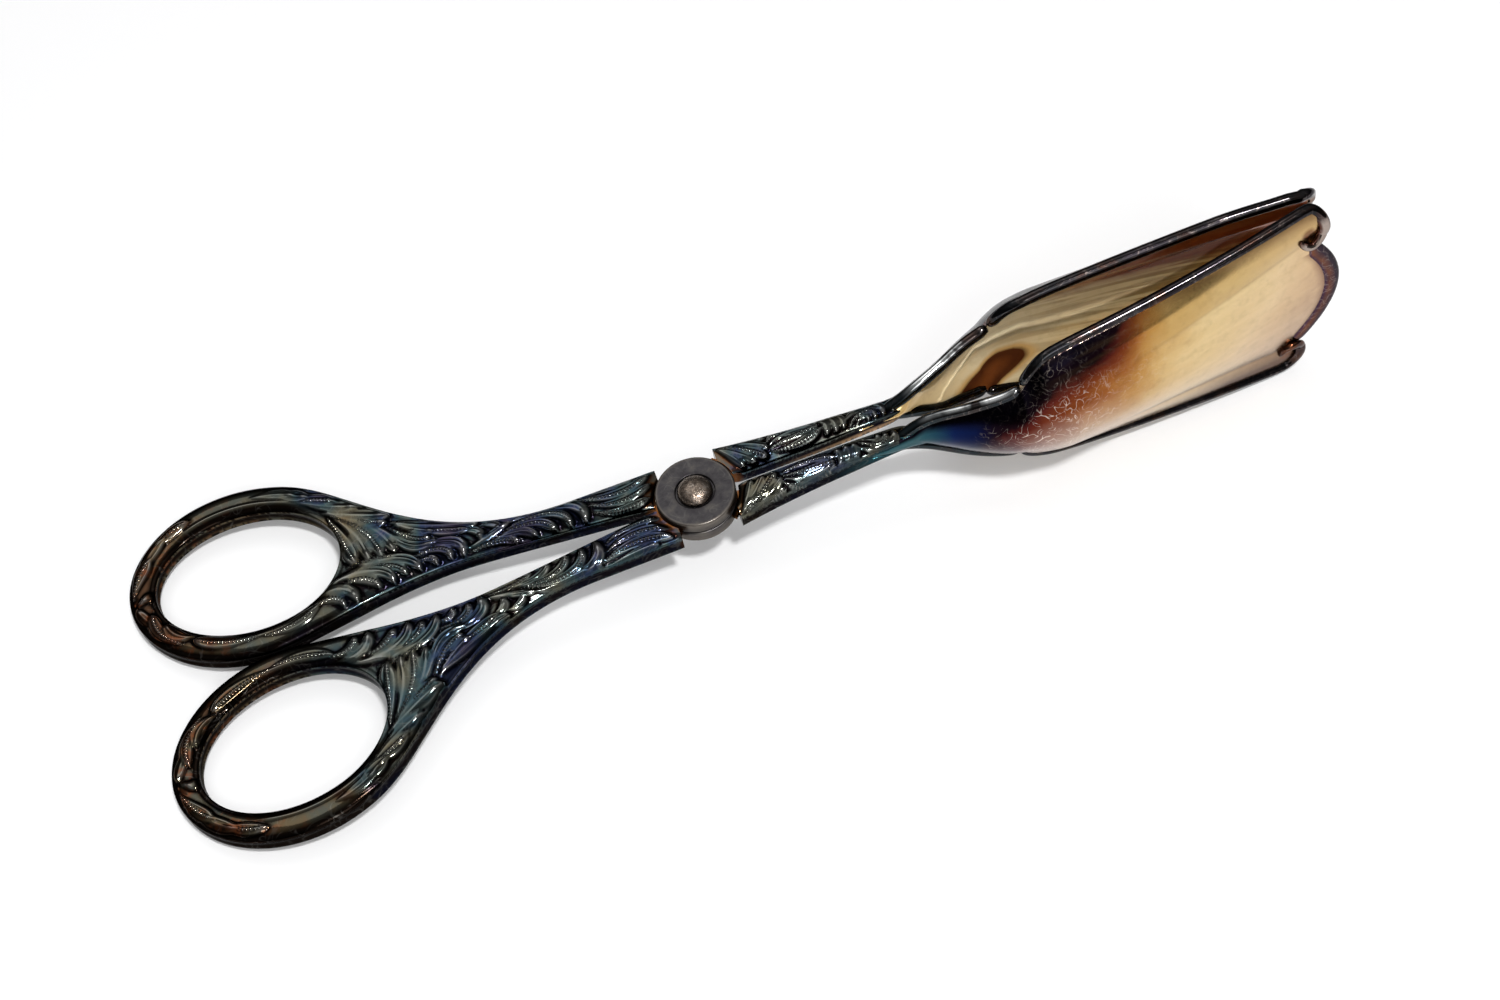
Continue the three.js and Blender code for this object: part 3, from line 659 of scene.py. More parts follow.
# Handling marks: short curling hair scratches, which are contour lines of a noise broken up by
# another, and a faint grain, as on any used plate.
marks, marks_in, marks_out = new_group(
    "handling marks", {"Scratch Length": 0.008},
    {"Scratch": "NodeSocketFloat", "Grain": "NodeSocketFloat"})
place = object_place(marks)
hair = 0.0
for turn, fineness in [(0.4, 1.0), (-0.9, 1.2), (2.1, 1.4), (1.2, 1.1), (-2.0, 1.7)]:
    laid = add_node(marks, "ShaderNodeMapping", {
        "Vector": place, "Rotation": (turn, 0.3, turn), "Location": (turn, 0.0, 0.0)}).outputs["Vector"]
    scale = sums(fineness, marks_in["Scratch Length"], "DIVIDE")
    swirl = noise(laid, scale, 0.6, distortion=0.9)
    from_contour = sums(sums(swirl, 0.47, "SUBTRACT"), 0.0, "ABSOLUTE")
    broken = spread(noise(laid, product(scale, 1.7), 1.0), 0.46, 0.56)
    hair = sums(hair, product(spread(from_contour, 0.010, 0.002), broken), "MAXIMUM")
link(hair, marks_out["Scratch"])
link(noise(place, 2600.0, 2.0), marks_out["Grain"])

# Finish of the handles: glossy dark tarnish; the leaves' hollows are painted near black, partly
# tarnish and partly painted shade, and their crests paler, partly rubbed wear and partly painted
# highlight; brown with red-brown specks toward the rings' ends, and dull grey on the lap discs.
handle_finish, tree = new_finish("tarnished_silver")
place = object_place(tree)
along = along_x(place)
film = place_group(tree, tarnish, Patch_Size=0.011, Range=0.72,
                   Shift=spread(along, -0.058, -0.098, 0.22, -0.30))
mark = place_group(tree, marks, Scratch_Length=0.006)
groove, on_disc = field(tree, "leaf_groove"), field(tree, "lap_disc")
blotch = noise(place, 420.0, 4.0, 0.65)
from_rivet = add_node(tree, "ShaderNodeVectorMath", {0: place, 1: tuple(pivot)}, operation="DISTANCE")
from_rivet = from_rivet.outputs["Value"]
# Painted shade: deep is the near black laid where the leaf share is low, in the hollows and on the walls,
# partly tarnish.
deep = blend(spread(film["Patch"], 0.35, 0.75), (0.005, 0.003, 0.002), (0.002, 0.003, 0.009))
lit = layered(film["Colour"], (spread(along, -0.010, 0.010, 0.0, 0.14), (0.180, 0.178, 0.170)),
              (spread(along, -0.058, -0.072, 0.0, 0.25), (0.012, 0.011, 0.010)))
# Painted highlight: ridge lays a pale grey on the crests, partly rubbed wear.
ridge = spread(groove, 0.55, 1.0, 0.0, 0.60)
crevice = product(spread(from_rivet, 0.0072, 0.0088, 0.5, 0.0), spread(groove, 0.6, 0.3))
bead_pitch = 10.5
bead_wave = sums(product(field(tree, "bead_run"), bead_pitch), 0.0, "SINE")
bead = product(spread(bead_wave, -0.4, 1.0), field(tree, "bead_row"))
rust = product(spread(along, -0.078, -0.098), spread(blotch, 0.50, 0.62), spread(groove, 0.12, 0.32), 0.6)
dull = colour_ramp(blotch, [
    (0.30, (0.040, 0.036, 0.040)), (0.50, (0.064, 0.060, 0.062)), (0.70, (0.100, 0.092, 0.085))])
# The disc's rim is painted paler, partly wear and partly a painted highlight.
rim_wear_and_highlight = product(spread(from_rivet, 0.0065, 0.0069), spread(from_rivet, 0.0071, 0.0069), 0.5)
dull = layered(dull, (rim_wear_and_highlight, (0.230, 0.200, 0.165)),
               # Painted shadow: a dark ring round the rivet's head on the lap disc.
               (spread(from_rivet, 0.0040, 0.0046, 0.5, 0.0), (0.020, 0.018, 0.020)))
colour = layered(
    deep, (spread(groove, 0.18, 0.62), lit), (ridge, (0.240, 0.236, 0.220)),
    (crevice, (0.220, 0.080, 0.018)), (product(bead, 0.45), (0.300, 0.295, 0.275)),
    (product(field(tree, "gilt_wall"), 0.8), (0.560, 0.350, 0.200)),
    (product(field(tree, "teal_wall"), 0.8), (0.020, 0.062, 0.074)),
    (rust, (0.150, 0.040, 0.011)), (on_disc, dull),
    (product(mark["Scratch"], 0.12), (0.25, 0.24, 0.22)))
dress(tree, {
    "Base Color": colour, "Metallic": 1.0, "Specular Tint": (0.5, 0.5, 0.5),
    "Roughness": sums(spread(film["Patch"], 0.0, 1.0, 0.085, 0.14), product(on_disc, 0.25)),
    "Coat Weight": spread(groove, 0.3, 0.9, 0.02, 0.22), "Coat Roughness": 0.06,
    "Normal": bumped(sums(bead, product(mark["Grain"], 0.04)), 0.6, 0.00022)})

handle = rear_surfaces() + front_surfaces() + disc_surfaces()
left_handle = make_piece("cast_handle_left", handle, handle_finish, crease=55)
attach(left_handle, "lower_arm")
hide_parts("left_handle")
turned_handle = [(turn_over(grid), values) for grid, values in handle]
right_handle = make_piece("cast_handle_right", turned_handle, handle_finish, crease=55)
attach(right_handle, "upper_arm")
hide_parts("right_handle")

# Rivet: a turned pin with a domed head over the upper disc, its tail hammered over below. The
# dome is rubbed to bare brownish silver and pitted.
head_radius, pin_radius, head_rise, tail_rise, disc_face, head_seat = 2.9, 1.7, 1.5, 0.5, 2.36, 2.26
dome_steps, pin_steps = 20, 97


def dome(rise):
    """Quarter oval from the middle of the head to its edge, then straight down to its seat."""
    q = np.linspace(0, np.pi / 2, dome_steps)
    over = np.column_stack([head_radius * np.sin(q), disc_face + rise * np.cos(q)])
    return np.concatenate([over, [(head_radius, head_seat), (pin_radius, head_seat)]])


pin = np.concatenate([dome(head_rise), (dome(tail_rise) * [1, -1])[::-1]])
rivet_finish, tree = new_finish("worn_rivet")
place = object_place(tree)
mark = place_group(tree, marks, Scratch_Length=0.003)
pit = spread(noise(place, 1500.0, 4.0, 0.7), 0.36, 0.62)
colour = blend(pit, (0.060, 0.045, 0.036), (0.300, 0.235, 0.185))
dress(tree, {
    "Base Color": blend(product(mark["Scratch"], 0.5), colour, (0.50, 0.45, 0.40)), "Metallic": 1.0,
    "Roughness": spread(pit, 0, 1, 0.34, 0.20), "Coat Weight": 0.3, "Coat Roughness": 0.12,
    "Normal": bumped(pit, 0.35, 0.00008)})
turned_pin = revolved(pin, np.linspace(0, 2 * np.pi, pin_steps))
rivet = make_piece("domed_rivet", [(turned_pin, {})], rivet_finish, crease=50)
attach(rivet, "lower_arm")
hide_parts("pivot_rivet")

# Jaws: one long spoon-shaped pressing each, brazed to the front shank, three soft lobes wide at
# the tip. Polished pale gold inside; outside it goes from blue-black at the neck to pale gold.
sheet, neck_thickness, neck_taper, under_border = 1.0, 3.3, 14.0, 0.35
root_reach, cusp_reach, deep_reach, scroll_reach, tip_reach = 29.0, 53.5, 62.0, 104.3, 112.2
neck_half, neck_bow, cusp_half = 1.9, 0.7, 8.6
swell_half, swell_shoulder, tip_half, swell_waist = 12.7, 2.6, 20.5, 0.5
neck_rim, cusp_rim, swell_rim, tip_rim, rim_curl = 2.9, 6.6, 6.3, 1.5, 1.9
neck_depth, bowl_depth, tip_depth, bowl_fade = 1.5, 6.1, 0.7, 1.3
scroll_radius, scroll_width, hook_width, notch_half, lobe_rise = 4.2, 2.4, 3.3, 11.3, 4.2
lobe_depth, lobe_zone, lobe_power, side_lobe = 0.85, (64, 92), 0.8, 0.4
valley_start, valley_low, valley_rise, valley_curve = 66.0, 7.16, 0.105, 0.0019
jaw_droop = np.radians(0.5)
neck_drops = {("upper", 1): 1.2, ("upper", -1): 1.2, ("lower", 1): 0.5, ("lower", -1): 2.0}
left_bend, bend_zone, drop_in, drop_out = 0.9, (92, 106), (38, 46), (51, 58)
reflection_x, reflection_z, reflection_long, reflection_high = 55.0, -7.9, 8.0, 2.3
scroll_half = tip_half - scroll_radius
scroll_x = scroll_reach + scroll_radius - scroll_width
hook_x = scroll_reach + scroll_radius - hook_width


def cusp_step(x):
    """Exponential fall from 1 at the cusp, by which the swell's shoulder leaves it."""
    return np.exp(np.clip((cusp_reach - x) / swell_shoulder, -50, 0))


def rim_half(x):
    """Half height of the jaw at its border: a straight taper with a slight bow up to the cusp,
    then a waisted swell that starts from the cusp with an exponential shoulder."""
    s = (x - neck_reach) / (cusp_reach - neck_reach)
    neck = neck_half + (cusp_half - neck_half) * s + neck_bow * np.sin(np.pi * s)
    s = (x - cusp_reach) / (scroll_reach - cusp_reach)
    swell = swell_half + (tip_half - swell_half) * s - swell_waist * np.sin(np.pi * np.clip(s, 0, 1))
    return np.where(x < cusp_reach, neck, swell - (swell_half - cusp_half) * cusp_step(x))


def rim_out(x):
    """How far the border stands from the middle plane: it eases out to the cusp, then closes
    toward the tip as a power of the way along."""
    neck = neck_rim + (cusp_rim - neck_rim) * eased(x, neck_reach, cusp_reach)
    s = np.clip((x - cusp_reach) / (tip_reach - cusp_reach), 0, 1)
    swell = swell_rim + (cusp_rim - swell_rim) * cusp_step(x) - (swell_rim - tip_rim) * s**rim_curl
    return np.where(x < cusp_reach, neck, swell)


def face_out(x, z):
    """Middle of the sheet, out from the middle plane: the border's distance plus a belly that is
    a parabola over the height, deepest behind the middle of the jaw."""
    s = np.clip((x - deep_reach) / (tip_reach - deep_reach), 0, 1)
    fading = tip_depth + (bowl_depth - tip_depth) * (1 - s) ** bowl_fade
    growing = neck_depth + (bowl_depth - neck_depth) * eased(x, neck_reach, deep_reach)
    across = np.clip(np.abs(z) / rim_half(np.minimum(x, scroll_reach)), 0, 1)
    return rim_out(x) + np.where(x < deep_reach, growing, fading) * (1 - across**2)


def middle_lobe_end(z):
    """End of the middle lobe at a height: a parabola."""
    return tip_reach - lobe_rise * (z / notch_half) ** 2


def lobe_end(z):
    """End of the jaw at a height: the middle lobe's, or an oval under each scroll."""
    height = np.abs(z)
    off = np.clip(np.abs(height - scroll_half) / scroll_radius, 0, 1)
    return np.where(height < notch_half, middle_lobe_end(z), scroll_x + scroll_width * np.sqrt(1 - off**2))


def valley_at(x):
    """Height of the valley between two lobes, which grows quadratically along the jaw."""
    return valley_low + valley_rise * (x - valley_start) + valley_curve * (x - valley_start) ** 2


def three_lobes(x, z):
    """Extra swell of the three lobes: half a sine wave across each, meeting in the sharp valleys
    and dying away toward the bowl."""
    valley, height = valley_at(x), np.abs(z)
    rim = rim_half(np.minimum(x, scroll_reach))
    mid = np.cos(np.pi / 2 * np.clip(height / valley, 0, 1))
    outer = np.sin(np.pi * np.clip((height - valley) / np.maximum(rim - valley, 0.5), 0, 1))
    swell = np.where(height < valley, mid**lobe_power, side_lobe * outer**lobe_power)
    return lobe_depth * swell * eased(x, *lobe_zone)


def set_in_arm(points, sense):
    """Turns points of a jaw by its small droop about the neck, and those of the left jaw over."""
    c, s = np.cos(jaw_droop), np.sin(jaw_droop) * sense
    x, y, z = points[..., 0] - neck_reach, points[..., 1], points[..., 2]
    points = np.stack([neck_reach + c * x + s * z, y, c * z - s * x], axis=-1)
    return points if sense > 0 else turn_over(points)


def neck_drop(x, level, sense):
    """How far an edge of the neck hangs below its mirror image about the middle of the jaw: the
    upper edges alike, the lower edge of the left jaw more than that of the right one."""
    return neck_drops[level, sense] * eased(x, *drop_in) * (1 - eased(x, *drop_out))


def tip_bend(x, level, sense):
    """How far the left jaw's upper edge, which was bent in use, hangs down toward its scroll."""
    return (left_bend if level == "upper" and sense < 0 else 0.0) * eased(x, *bend_zone)


def jaw_surfaces(sense):
    """Outer and inner face of the jaw and the edges between them. Rows run along the jaw and
    then fill the lobes; two columns stand close together at each notch. Sense is 1 where the
    jaw's own height points up and -1 where it is turned over."""
    rows, lobe_rows, side_columns, middle_columns, slit = 200, 26, 34, 80, 1e-3
    end_trim, least_lobe, root_narrow, neck_sink, neck_blend = 0.3, 0.2, 0.45, 0.6, (neck_reach - 1.5, 41)
    root_lap, root_tuck, root_zone, shank_zone = 0.14, 0.3, (root_reach, root_reach + 3), (36, 42)
    root_round, bend_share, valley_blur, upper_crease = 0.5, (0.4, 1), 0.3, 0.25
    crease_zone, delay_zone, top_zone = (68, 80), (67, 80), (70, 84)
    low_flare, high_lean, rim_zone, lean_zone = 0.2, 0.45, (0.8, 1), (54, 62)
    crease_half, stage_lean, stage_delay, tip_band = 0.35, 8, 22, 4.5
    eye_long, eye_high, eye_drop = 1.5, 1.6, 0.3
    notch = notch_half / (tip_half - under_border)
    columns = np.concatenate([np.linspace(-1, -notch - slit, side_columns),
                              np.linspace(-notch + slit, notch - slit, middle_columns),
                              np.linspace(notch + slit, 1, side_columns)])[None, :]
    base = np.linspace(root_reach, scroll_reach, rows)
    base = np.concatenate([base, np.full(lobe_rows, scroll_reach)])[:, None]
    into = np.concatenate([np.zeros(rows), np.linspace(0, 1, lobe_rows + 1)[1:]])[:, None]
    root_half = neck_half * (root_narrow + (1 - root_narrow) * eased(base, root_reach, neck_reach))
    z = columns * (np.where(base < neck_reach, root_half, rim_half(base)) - under_border)
    x = base + (np.maximum(lobe_end(z) - end_trim, scroll_reach + least_lobe) - base) * into
    share = columns * sense + 0 * x
    at_neck = np.clip(1 - (x - neck_reach) / neck_taper, 0, 1) ** 2
    wall = sheet + (neck_thickness - sheet) * at_neck * (1 - columns**2)
    out = face_out(x, z) + sheet / 2 + three_lobes(x, z) - neck_sink * (1 - eased(x, *neck_blend))
    beside_shank = shank_outer(x) + root_lap - root_tuck * (1 - eased(x, *root_zone))
    out += np.maximum(beside_shank - root_round * columns**4 - out, 0) * (1 - eased(x, *shank_zone))
    out += low_flare * eased(-share, *rim_zone) - high_lean * eased(share, *rim_zone) * eased(x, *lean_zone)
    hang = tip_bend(x, "upper", sense) * eased(share, *bend_share)
    hang += (neck_drop(x, "upper", sense) * (1 + share) + neck_drop(x, "lower", sense) * (1 - share)) / 2
    outer = np.stack([x, -out, z - sense * hang], axis=-1)
    inner = np.stack([x, wall - out, z - sense * hang], axis=-1)
    valley = valley_at(x)
    # Painted shade: a dark band along each valley between the lobes, fainter along the upper one.
    crease_shade = bell((np.abs(z) - valley) / crease_half) * eased(x, *crease_zone)
    crease_shade *= np.where(share < 0, 1.0, upper_crease)
    late = stage_delay * np.maximum(share, 0) ** 3 * (1 - eased(x, *delay_zone))
    stage = (x - stage_lean * share - late - neck_reach) / (tip_reach - neck_reach)
    both = {"jaw_crease": crease_shade, "jaw_level": share, "jaw_stage": stage,
            "jaw_lobe": eased(z * sense - valley, -valley_blur, valley_blur) * eased(x, *top_zone),
            "jaw_tip": np.clip(1 - (lobe_end(z) - x) / tip_band, 0, 1) * (np.abs(z) < notch_half)}
    scroll_eye = bell((x - hook_x) / eye_long, (np.abs(z) - scroll_half + eye_drop) / eye_high)
    # Painted reflection: a brown-red oval with a golden rim, laid inside the jaw behind its neck.
    oval_reflection = bell((x - reflection_x) / reflection_long, (z * sense - reflection_z) / reflection_high)
    edges = [np.stack([outer[cut], inner[cut]]) for cut in (np.s_[:, 0], np.s_[:, -1], 0, -1)]
    surfaces = [(outer, {**both, "jaw_stain": scroll_eye}),
                (inner, {**both, "jaw_stain": oval_reflection, "jaw_inside": 1.0})]
    surfaces += [(edge, {}) for edge in edges]
    return [(set_in_arm(grid, sense), values) for grid, values in surfaces]


gilt_finish, tree = new_finish("gilt_jaw")
place = object_place(tree)
along = along_x(place)
mark = place_group(tree, marks, Scratch_Length=0.0036)
edge_film = place_group(tree, tarnish, Patch_Size=0.016, Range=0.25)
level, inside = field(tree, "jaw_level"), field(tree, "jaw_inside")
clouds = noise(place, 90.0, 5.0, 0.6, 0.4)
cloudy = spread(clouds, 0.3, 0.7, -0.05, 0.05)
# blotch: outside, a brown tint in each scroll's eye; inside, the painted reflection oval; both clouded.
blotch = sums(field(tree, "jaw_stain"), cloudy)
# Painted reflection: long streaks toward the tip, strong inside the jaw and faint outside.
streaming = add_node(tree, "ShaderNodeCombineXYZ", {"X": product(along, 45.0), "Y": product(level, 11.0)})
reflection_streak_noise = noise(streaming.outputs["Vector"], 1.0, 3.0, distortion=0.5)
reflection_streak = product(spread(reflection_streak_noise, 0.45, 0.57), spread(along, 0.042, 0.072))
outside = colour_ramp(sums(field(tree, "jaw_stage"), cloudy, clamp=True), [
    (0.00, (0.004, 0.003, 0.006)), (0.12, (0.009, 0.003, 0.005)), (0.18, (0.085, 0.014, 0.010)),
    (0.27, (0.165, 0.034, 0.009)), (0.35, (0.285, 0.095, 0.022)), (0.43, (0.440, 0.225, 0.062)),
    (0.51, (0.570, 0.370, 0.145)), (0.62, (0.690, 0.520, 0.270)), (0.78, (0.690, 0.515, 0.300)),
    (0.89, (0.600, 0.415, 0.240)), (1.00, (0.440, 0.280, 0.165))])
veil = colour_ramp(spread(sums(along, product(cloudy, 0.05)), 0.034, 0.064), [
    (0.00, (0.030, 0.024, 0.040)), (0.20, (0.165, 0.110, 0.112)), (0.38, (0.370, 0.255, 0.220)),
    (0.60, (0.520, 0.400, 0.320)), (1.00, (0.610, 0.465, 0.340))])
lifted = product(spread(along, 0.051, 0.061), spread(level, -0.55, 0.1))
veiled = product(spread(level, 0.35, -0.35), sums(1.0, lifted, "SUBTRACT"),
                 spread(along, 0.056, 0.074, 1.0, 0.3), spread(along, 0.034, 0.040))
neck_film = colour_ramp(spread(sums(along, product(cloudy, 0.03)), 0.024, 0.038), [
    (0.00, (0.030, 0.090, 0.105)), (0.25, (0.014, 0.050, 0.078)), (0.50, (0.004, 0.012, 0.062)),
    (0.80, (0.003, 0.005, 0.030)), (1.00, (0.006, 0.004, 0.012))])
at_neck = product(spread(along, 0.0385, 0.0345), spread(level, 0.85, 0.45))
low_rim = product(spread(level, -0.52, -0.84), spread(along, 0.062, 0.084), 0.95)
outside = layered(
    outside, (veiled, veil), (at_neck, neck_film), (low_rim, (0.085, 0.030, 0.008)),
    # Painted shade: the upper lobe toward the tip is laid a deeper gold.
    (product(field(tree, "jaw_lobe"), 0.5), (0.410, 0.245, 0.055)),
    (spread(blotch, 0.35, 0.75, 0.0, 0.85), (0.150, 0.050, 0.018)),
    (product(reflection_streak, 0.10), (0.420, 0.270, 0.110)))
within = colour_ramp(spread(along, 0.025, 0.102), [
    (0.00, (0.920, 0.650, 0.280)), (0.25, (1.000, 0.870, 0.570)), (0.58, (0.990, 0.790, 0.420)),
    (0.80, (0.920, 0.650, 0.250)), (1.00, (0.720, 0.430, 0.110))])
to_top = sums(level, product(cloudy, 1.2))
inner_rim = product(spread(to_top, 0.20, 0.45), spread(along, 0.034, 0.050), 0.92)
within = layered(
    within, (product(reflection_streak, 0.75), (0.280, 0.150, 0.030)),
    # Painted reflection: the oval inside the jaw, gold at its rim and dark red-brown within.
    (spread(blotch, 0.16, 0.28), (0.800, 0.530, 0.210)), (spread(blotch, 0.30, 0.42), (0.090, 0.024, 0.007)),
    (spread(blotch, 0.60, 0.95), (0.200, 0.058, 0.014)), (inner_rim, (0.290, 0.050, 0.010)))
to_rim = sums(level, 0.0, "ABSOLUTE")
near_rim = product(spread(to_rim, 0.86, 0.98), spread(along, 0.060, 0.072), 0.7)
brown = blend(edge_film["Patch"], (0.070, 0.020, 0.008), (0.110, 0.055, 0.020))
mottle = colour_ramp(noise(place, 520.0, 5.0, 0.65), [
    (0.32, (0.80, 0.78, 0.76)), (0.50, (1.0, 1.0, 1.0)), (0.72, (1.0, 0.97, 0.93))])
colour = layered(outside, (inside, within), (near_rim, brown))
colour = blend(0.55, colour, mottle, "MULTIPLY")
at_tip = sums(field(tree, "jaw_tip"), cloudy, clamp=True)
tip_film = colour_ramp(at_tip, [
    (0.00, (0.360, 0.225, 0.135)), (0.45, (0.210, 0.098, 0.052)), (0.75, (0.075, 0.030, 0.030)),
    (1.00, (0.030, 0.014, 0.024))])
scratched = product(
    mark["Scratch"], spread(along, 0.034, 0.044), spread(along, 0.052, 0.068, 1.0, 0.04),
    spread(clouds, 0.38, 0.55, 0.25, 1.0), spread(level, 0.25, 0.65, 1.0, 0.2), spread(inside, 1, 0))
colour = layered(
    colour, (spread(at_tip, 0.15, 0.6), tip_film), (scratched, (0.72, 0.62, 0.54)),
    # Painted shade along the valleys between the lobes.
    (product(field(tree, "jaw_crease"), 0.6), (0.10, 0.06, 0.03)))
dress(tree, {
    "Base Color": colour, "Metallic": spread(inside, 0, 1, 1.0, 0.42),
    "Roughness": product(spread(mark["Grain"], 0.3, 0.7, 0.20, 0.27), spread(inside, 0, 1, 1.0, 0.36)),
    "Normal": bumped(scratched, 0.25, 0.00003)})

right_jaw = make_piece("spoon_jaw_right", jaw_surfaces(1), gilt_finish, crease=60)
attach(right_jaw, "lower_arm")
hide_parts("right_jaw")
left_jaw = make_piece("spoon_jaw_left", jaw_surfaces(-1), gilt_finish, crease=60)
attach(left_jaw, "upper_arm")
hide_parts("left_jaw")

# Borders: a grooved moulding along the jaw's edges, a short length from neck to cusp and a long
# one from cusp to tip that curls over into a scroll. Tarnished black, purple and brown.
border_half, border_width, border_inset, border_groove = 1.0, 0.98, 0.44, 0.22
border_sides, end_taper, groove_angle, groove_half = 28, 1.6, 0.75 * np.pi, 0.22
neck_points, rim_points, scroll_points = 70, 180, 129
neck_start, neck_end, long_start = neck_reach - 2.5, cusp_reach + 0.2, cusp_reach + 0.3
neck_width, neck_proud, low_neck_proud, lower_pale = 1.1 * border_width, 0.1, 0.6, 0.45
scroll_turn, scroll_open, scroll_shrink, left_scroll_shift = np.radians(245), 0.35, 0.52, 1.2
upper_lean, lower_proud, scroll_proud, cusp_zone = -0.7, 0.75, 1.05, (52, 60)
climb_zone, hook_sink, sink_zone = (0.03, 0.40), 0.45, (0.65, 1)
around = np.linspace(0, 2 * np.pi, border_sides + 1)[None, :]


def moulding(path, half, width, shift, groove):
    """A section carried along a path. The section is an oval of the given half thickness and
    half width at each point, set to one side by a shift, with a fine groove beside its crown;
    both ends run down to a rounded point."""
    way = unit(np.gradient(path, axis=0))
    outward = np.array([0.0, -1.0, 0.0])
    out = unit(outward - way * (way @ outward)[:, None])
    side = np.cross(way, out)
    run = run_along(path)
    small = rounded(np.minimum(run, run[-1] - run), end_taper)[:, None]
    cut = 1 - groove * bell((around - groove_angle) / groove_half)
    half, width, shift = (np.reshape(value, (-1, 1)) for value in (half, width, shift))
    over = small * half * np.cos(around - np.pi / 2) * cut
    wide = small * (width * np.sin(around - np.pi / 2) * cut + shift)
    return path[:, None, :] + over[..., None] * out[:, None, :] + wide[..., None] * side[:, None, :]


def border_out(x, level, sense):
    """How far out of the sheet's middle a border is set: the lower ones stand proud of it, and
    the upper long ones lean in toward the other jaw."""
    at_neck = neck_proud if level == "upper" or sense < 0 else low_neck_proud
    long_border = lower_proud if level == "lower" else upper_lean
    return at_neck + eased(x, *cusp_zone) * (long_border - at_neck)


def rim_line(start, end, count, level, sense):
    """Points of the border line along the jaw's upper or lower edge, both drawn upward."""
    x = np.linspace(start, end, count)
    drop = neck_drop(x, level, sense) * (1 if level == "upper" else -1) + tip_bend(x, level, sense)
    height = np.minimum(rim_half(x), tip_half) - drop
    return np.column_stack([x, -rim_out(x) - border_out(x, level, sense), height])


def scroll_line(level, sense):
    """The long border's line and the scroll that ends it: half round an upright oval, then a
    hook that shrinks toward its eye and climbs on to the outer face."""
    share = np.linspace(0, 1, scroll_points + 1)[1:]
    angle = np.pi / 2 - scroll_turn * share
    size = 1 - scroll_shrink * eased(share, scroll_open, 1.05)
    turn_x = hook_x + (left_scroll_shift if level == "upper" and sense < 0 else 0.0)
    x = turn_x + hook_width * size * np.cos(angle)
    z = scroll_half + scroll_radius * size * np.sin(angle) - tip_bend(turn_x, level, sense)
    start = border_out(turn_x, level, sense)
    climb = start + (scroll_proud - start) * eased(share, *climb_zone) - hook_sink * eased(share, *sink_zone)
    curl = np.column_stack([x, -face_out(x, z) - climb - three_lobes(x, z), z])
    return np.concatenate([rim_line(long_start, turn_x, rim_points, level, sense), curl])


border_finish, tree = new_finish("dark_border")
along = along_x(object_place(tree))
patch = place_group(tree, tarnish, Patch_Size=0.007)["Patch"]
mark = place_group(tree, marks, Scratch_Length=0.005)
across_border, scrolled = field(tree, "border_across"), field(tree, "border_scroll")
ground_film = colour_ramp(patch, [
    (0.00, (0.070, 0.026, 0.011)), (0.28, (0.024, 0.011, 0.008)), (0.50, (0.009, 0.008, 0.009)),
    (0.75, (0.016, 0.012, 0.016)), (1.00, (0.060, 0.054, 0.052))])
scroll_film = layered(
    blend(spread(patch, 0.3, 0.7), (0.250, 0.170, 0.130), (0.380, 0.310, 0.270)),
    (spread(across_border, 0.45, 0.85), (0.075, 0.022, 0.012)),
    (spread(across_border, -0.6, -0.95), (0.030, 0.024, 0.024)))
lower_film = blend(spread(patch, 0.3, 0.7), (0.130, 0.042, 0.014), (0.040, 0.020, 0.018))
scroll_film = blend(spread(scrolled, 0.5, 0.9), lower_film, scroll_film)
# Painted highlight: a near-white band near the top edge of each neck border.
shine = product(
    spread(across_border, -0.55, -0.92), field(tree, "neck_shine"), spread(patch, 0.25, 0.55),
    spread(along, 0.026, 0.031), spread(along, 0.042, 0.038), 0.9)
colour = layered(
    ground_film, (spread(along, 0.022, 0.055, 0.75, 0.0), (0.013, 0.028, 0.034)),
    (spread(scrolled, 0.0, 0.45, 0.0, 0.9), scroll_film), (shine, (0.780, 0.790, 0.780)),
    (product(mark["Scratch"], 0.3), (0.26, 0.22, 0.20)))
dress(tree, {
    "Base Color": colour, "Metallic": 1.0, "Specular Tint": (0.5, 0.5, 0.5),
    "Roughness": spread(mark["Grain"], 0.3, 0.7, 0.09, 0.15), "Coat Weight": 0.3, "Coat Roughness": 0.08})

mirror_level = np.array([1.0, 1.0, -1.0])
arms = [("right", "lower_arm", 1), ("left", "upper_arm", -1)]
scroll_thinning, scroll_narrowing, scroll_centring = 0.38, 0.40, 0.80
curling = np.concatenate([np.zeros(rim_points), np.linspace(0, 1, scroll_points)])
thick = border_half * (1 - scroll_thinning * eased(curling, 0, 0.3))
narrowing = eased(curling, 0.45, 1)
broad = border_width * (1 - scroll_narrowing * narrowing)
inset = border_inset * (1 - scroll_centring * narrowing)
scrolling = eased(curling, 0.10, 0.34) * (1 - 0.5 * eased(curling, 0.82, 1))
across = np.sin(around - np.pi / 2)
for jaw, body, sense in arms:
    for level in ("upper", "lower"):
        neck_line = rim_line(neck_start, neck_end, neck_points, level, sense)
        neck_strip = moulding(neck_line, border_half, neck_width, border_inset, border_groove)
        long_strip = moulding(scroll_line(level, sense), thick, broad, inset, border_groove)
        pale = scrolling[:, None] * (1.0 if level == "upper" else lower_pale)
        for name, strip, values in [("neck_border", neck_strip, {"neck_shine": 1.0, "border_scroll": 0.0}),
                                    ("border", long_strip, {"neck_shine": 0.0, "border_scroll": pale})]:
            strip = strip * mirror_level if (level == "lower") == (sense > 0) else strip
            surface = (set_in_arm(strip, sense), {"border_across": across, **values})
            piece = make_piece(f"{jaw}_{level}_{name}_moulding", [surface], border_finish, crease=60)
            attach(piece, body)
            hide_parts(f"{jaw}_jaw_{level}_{name}")

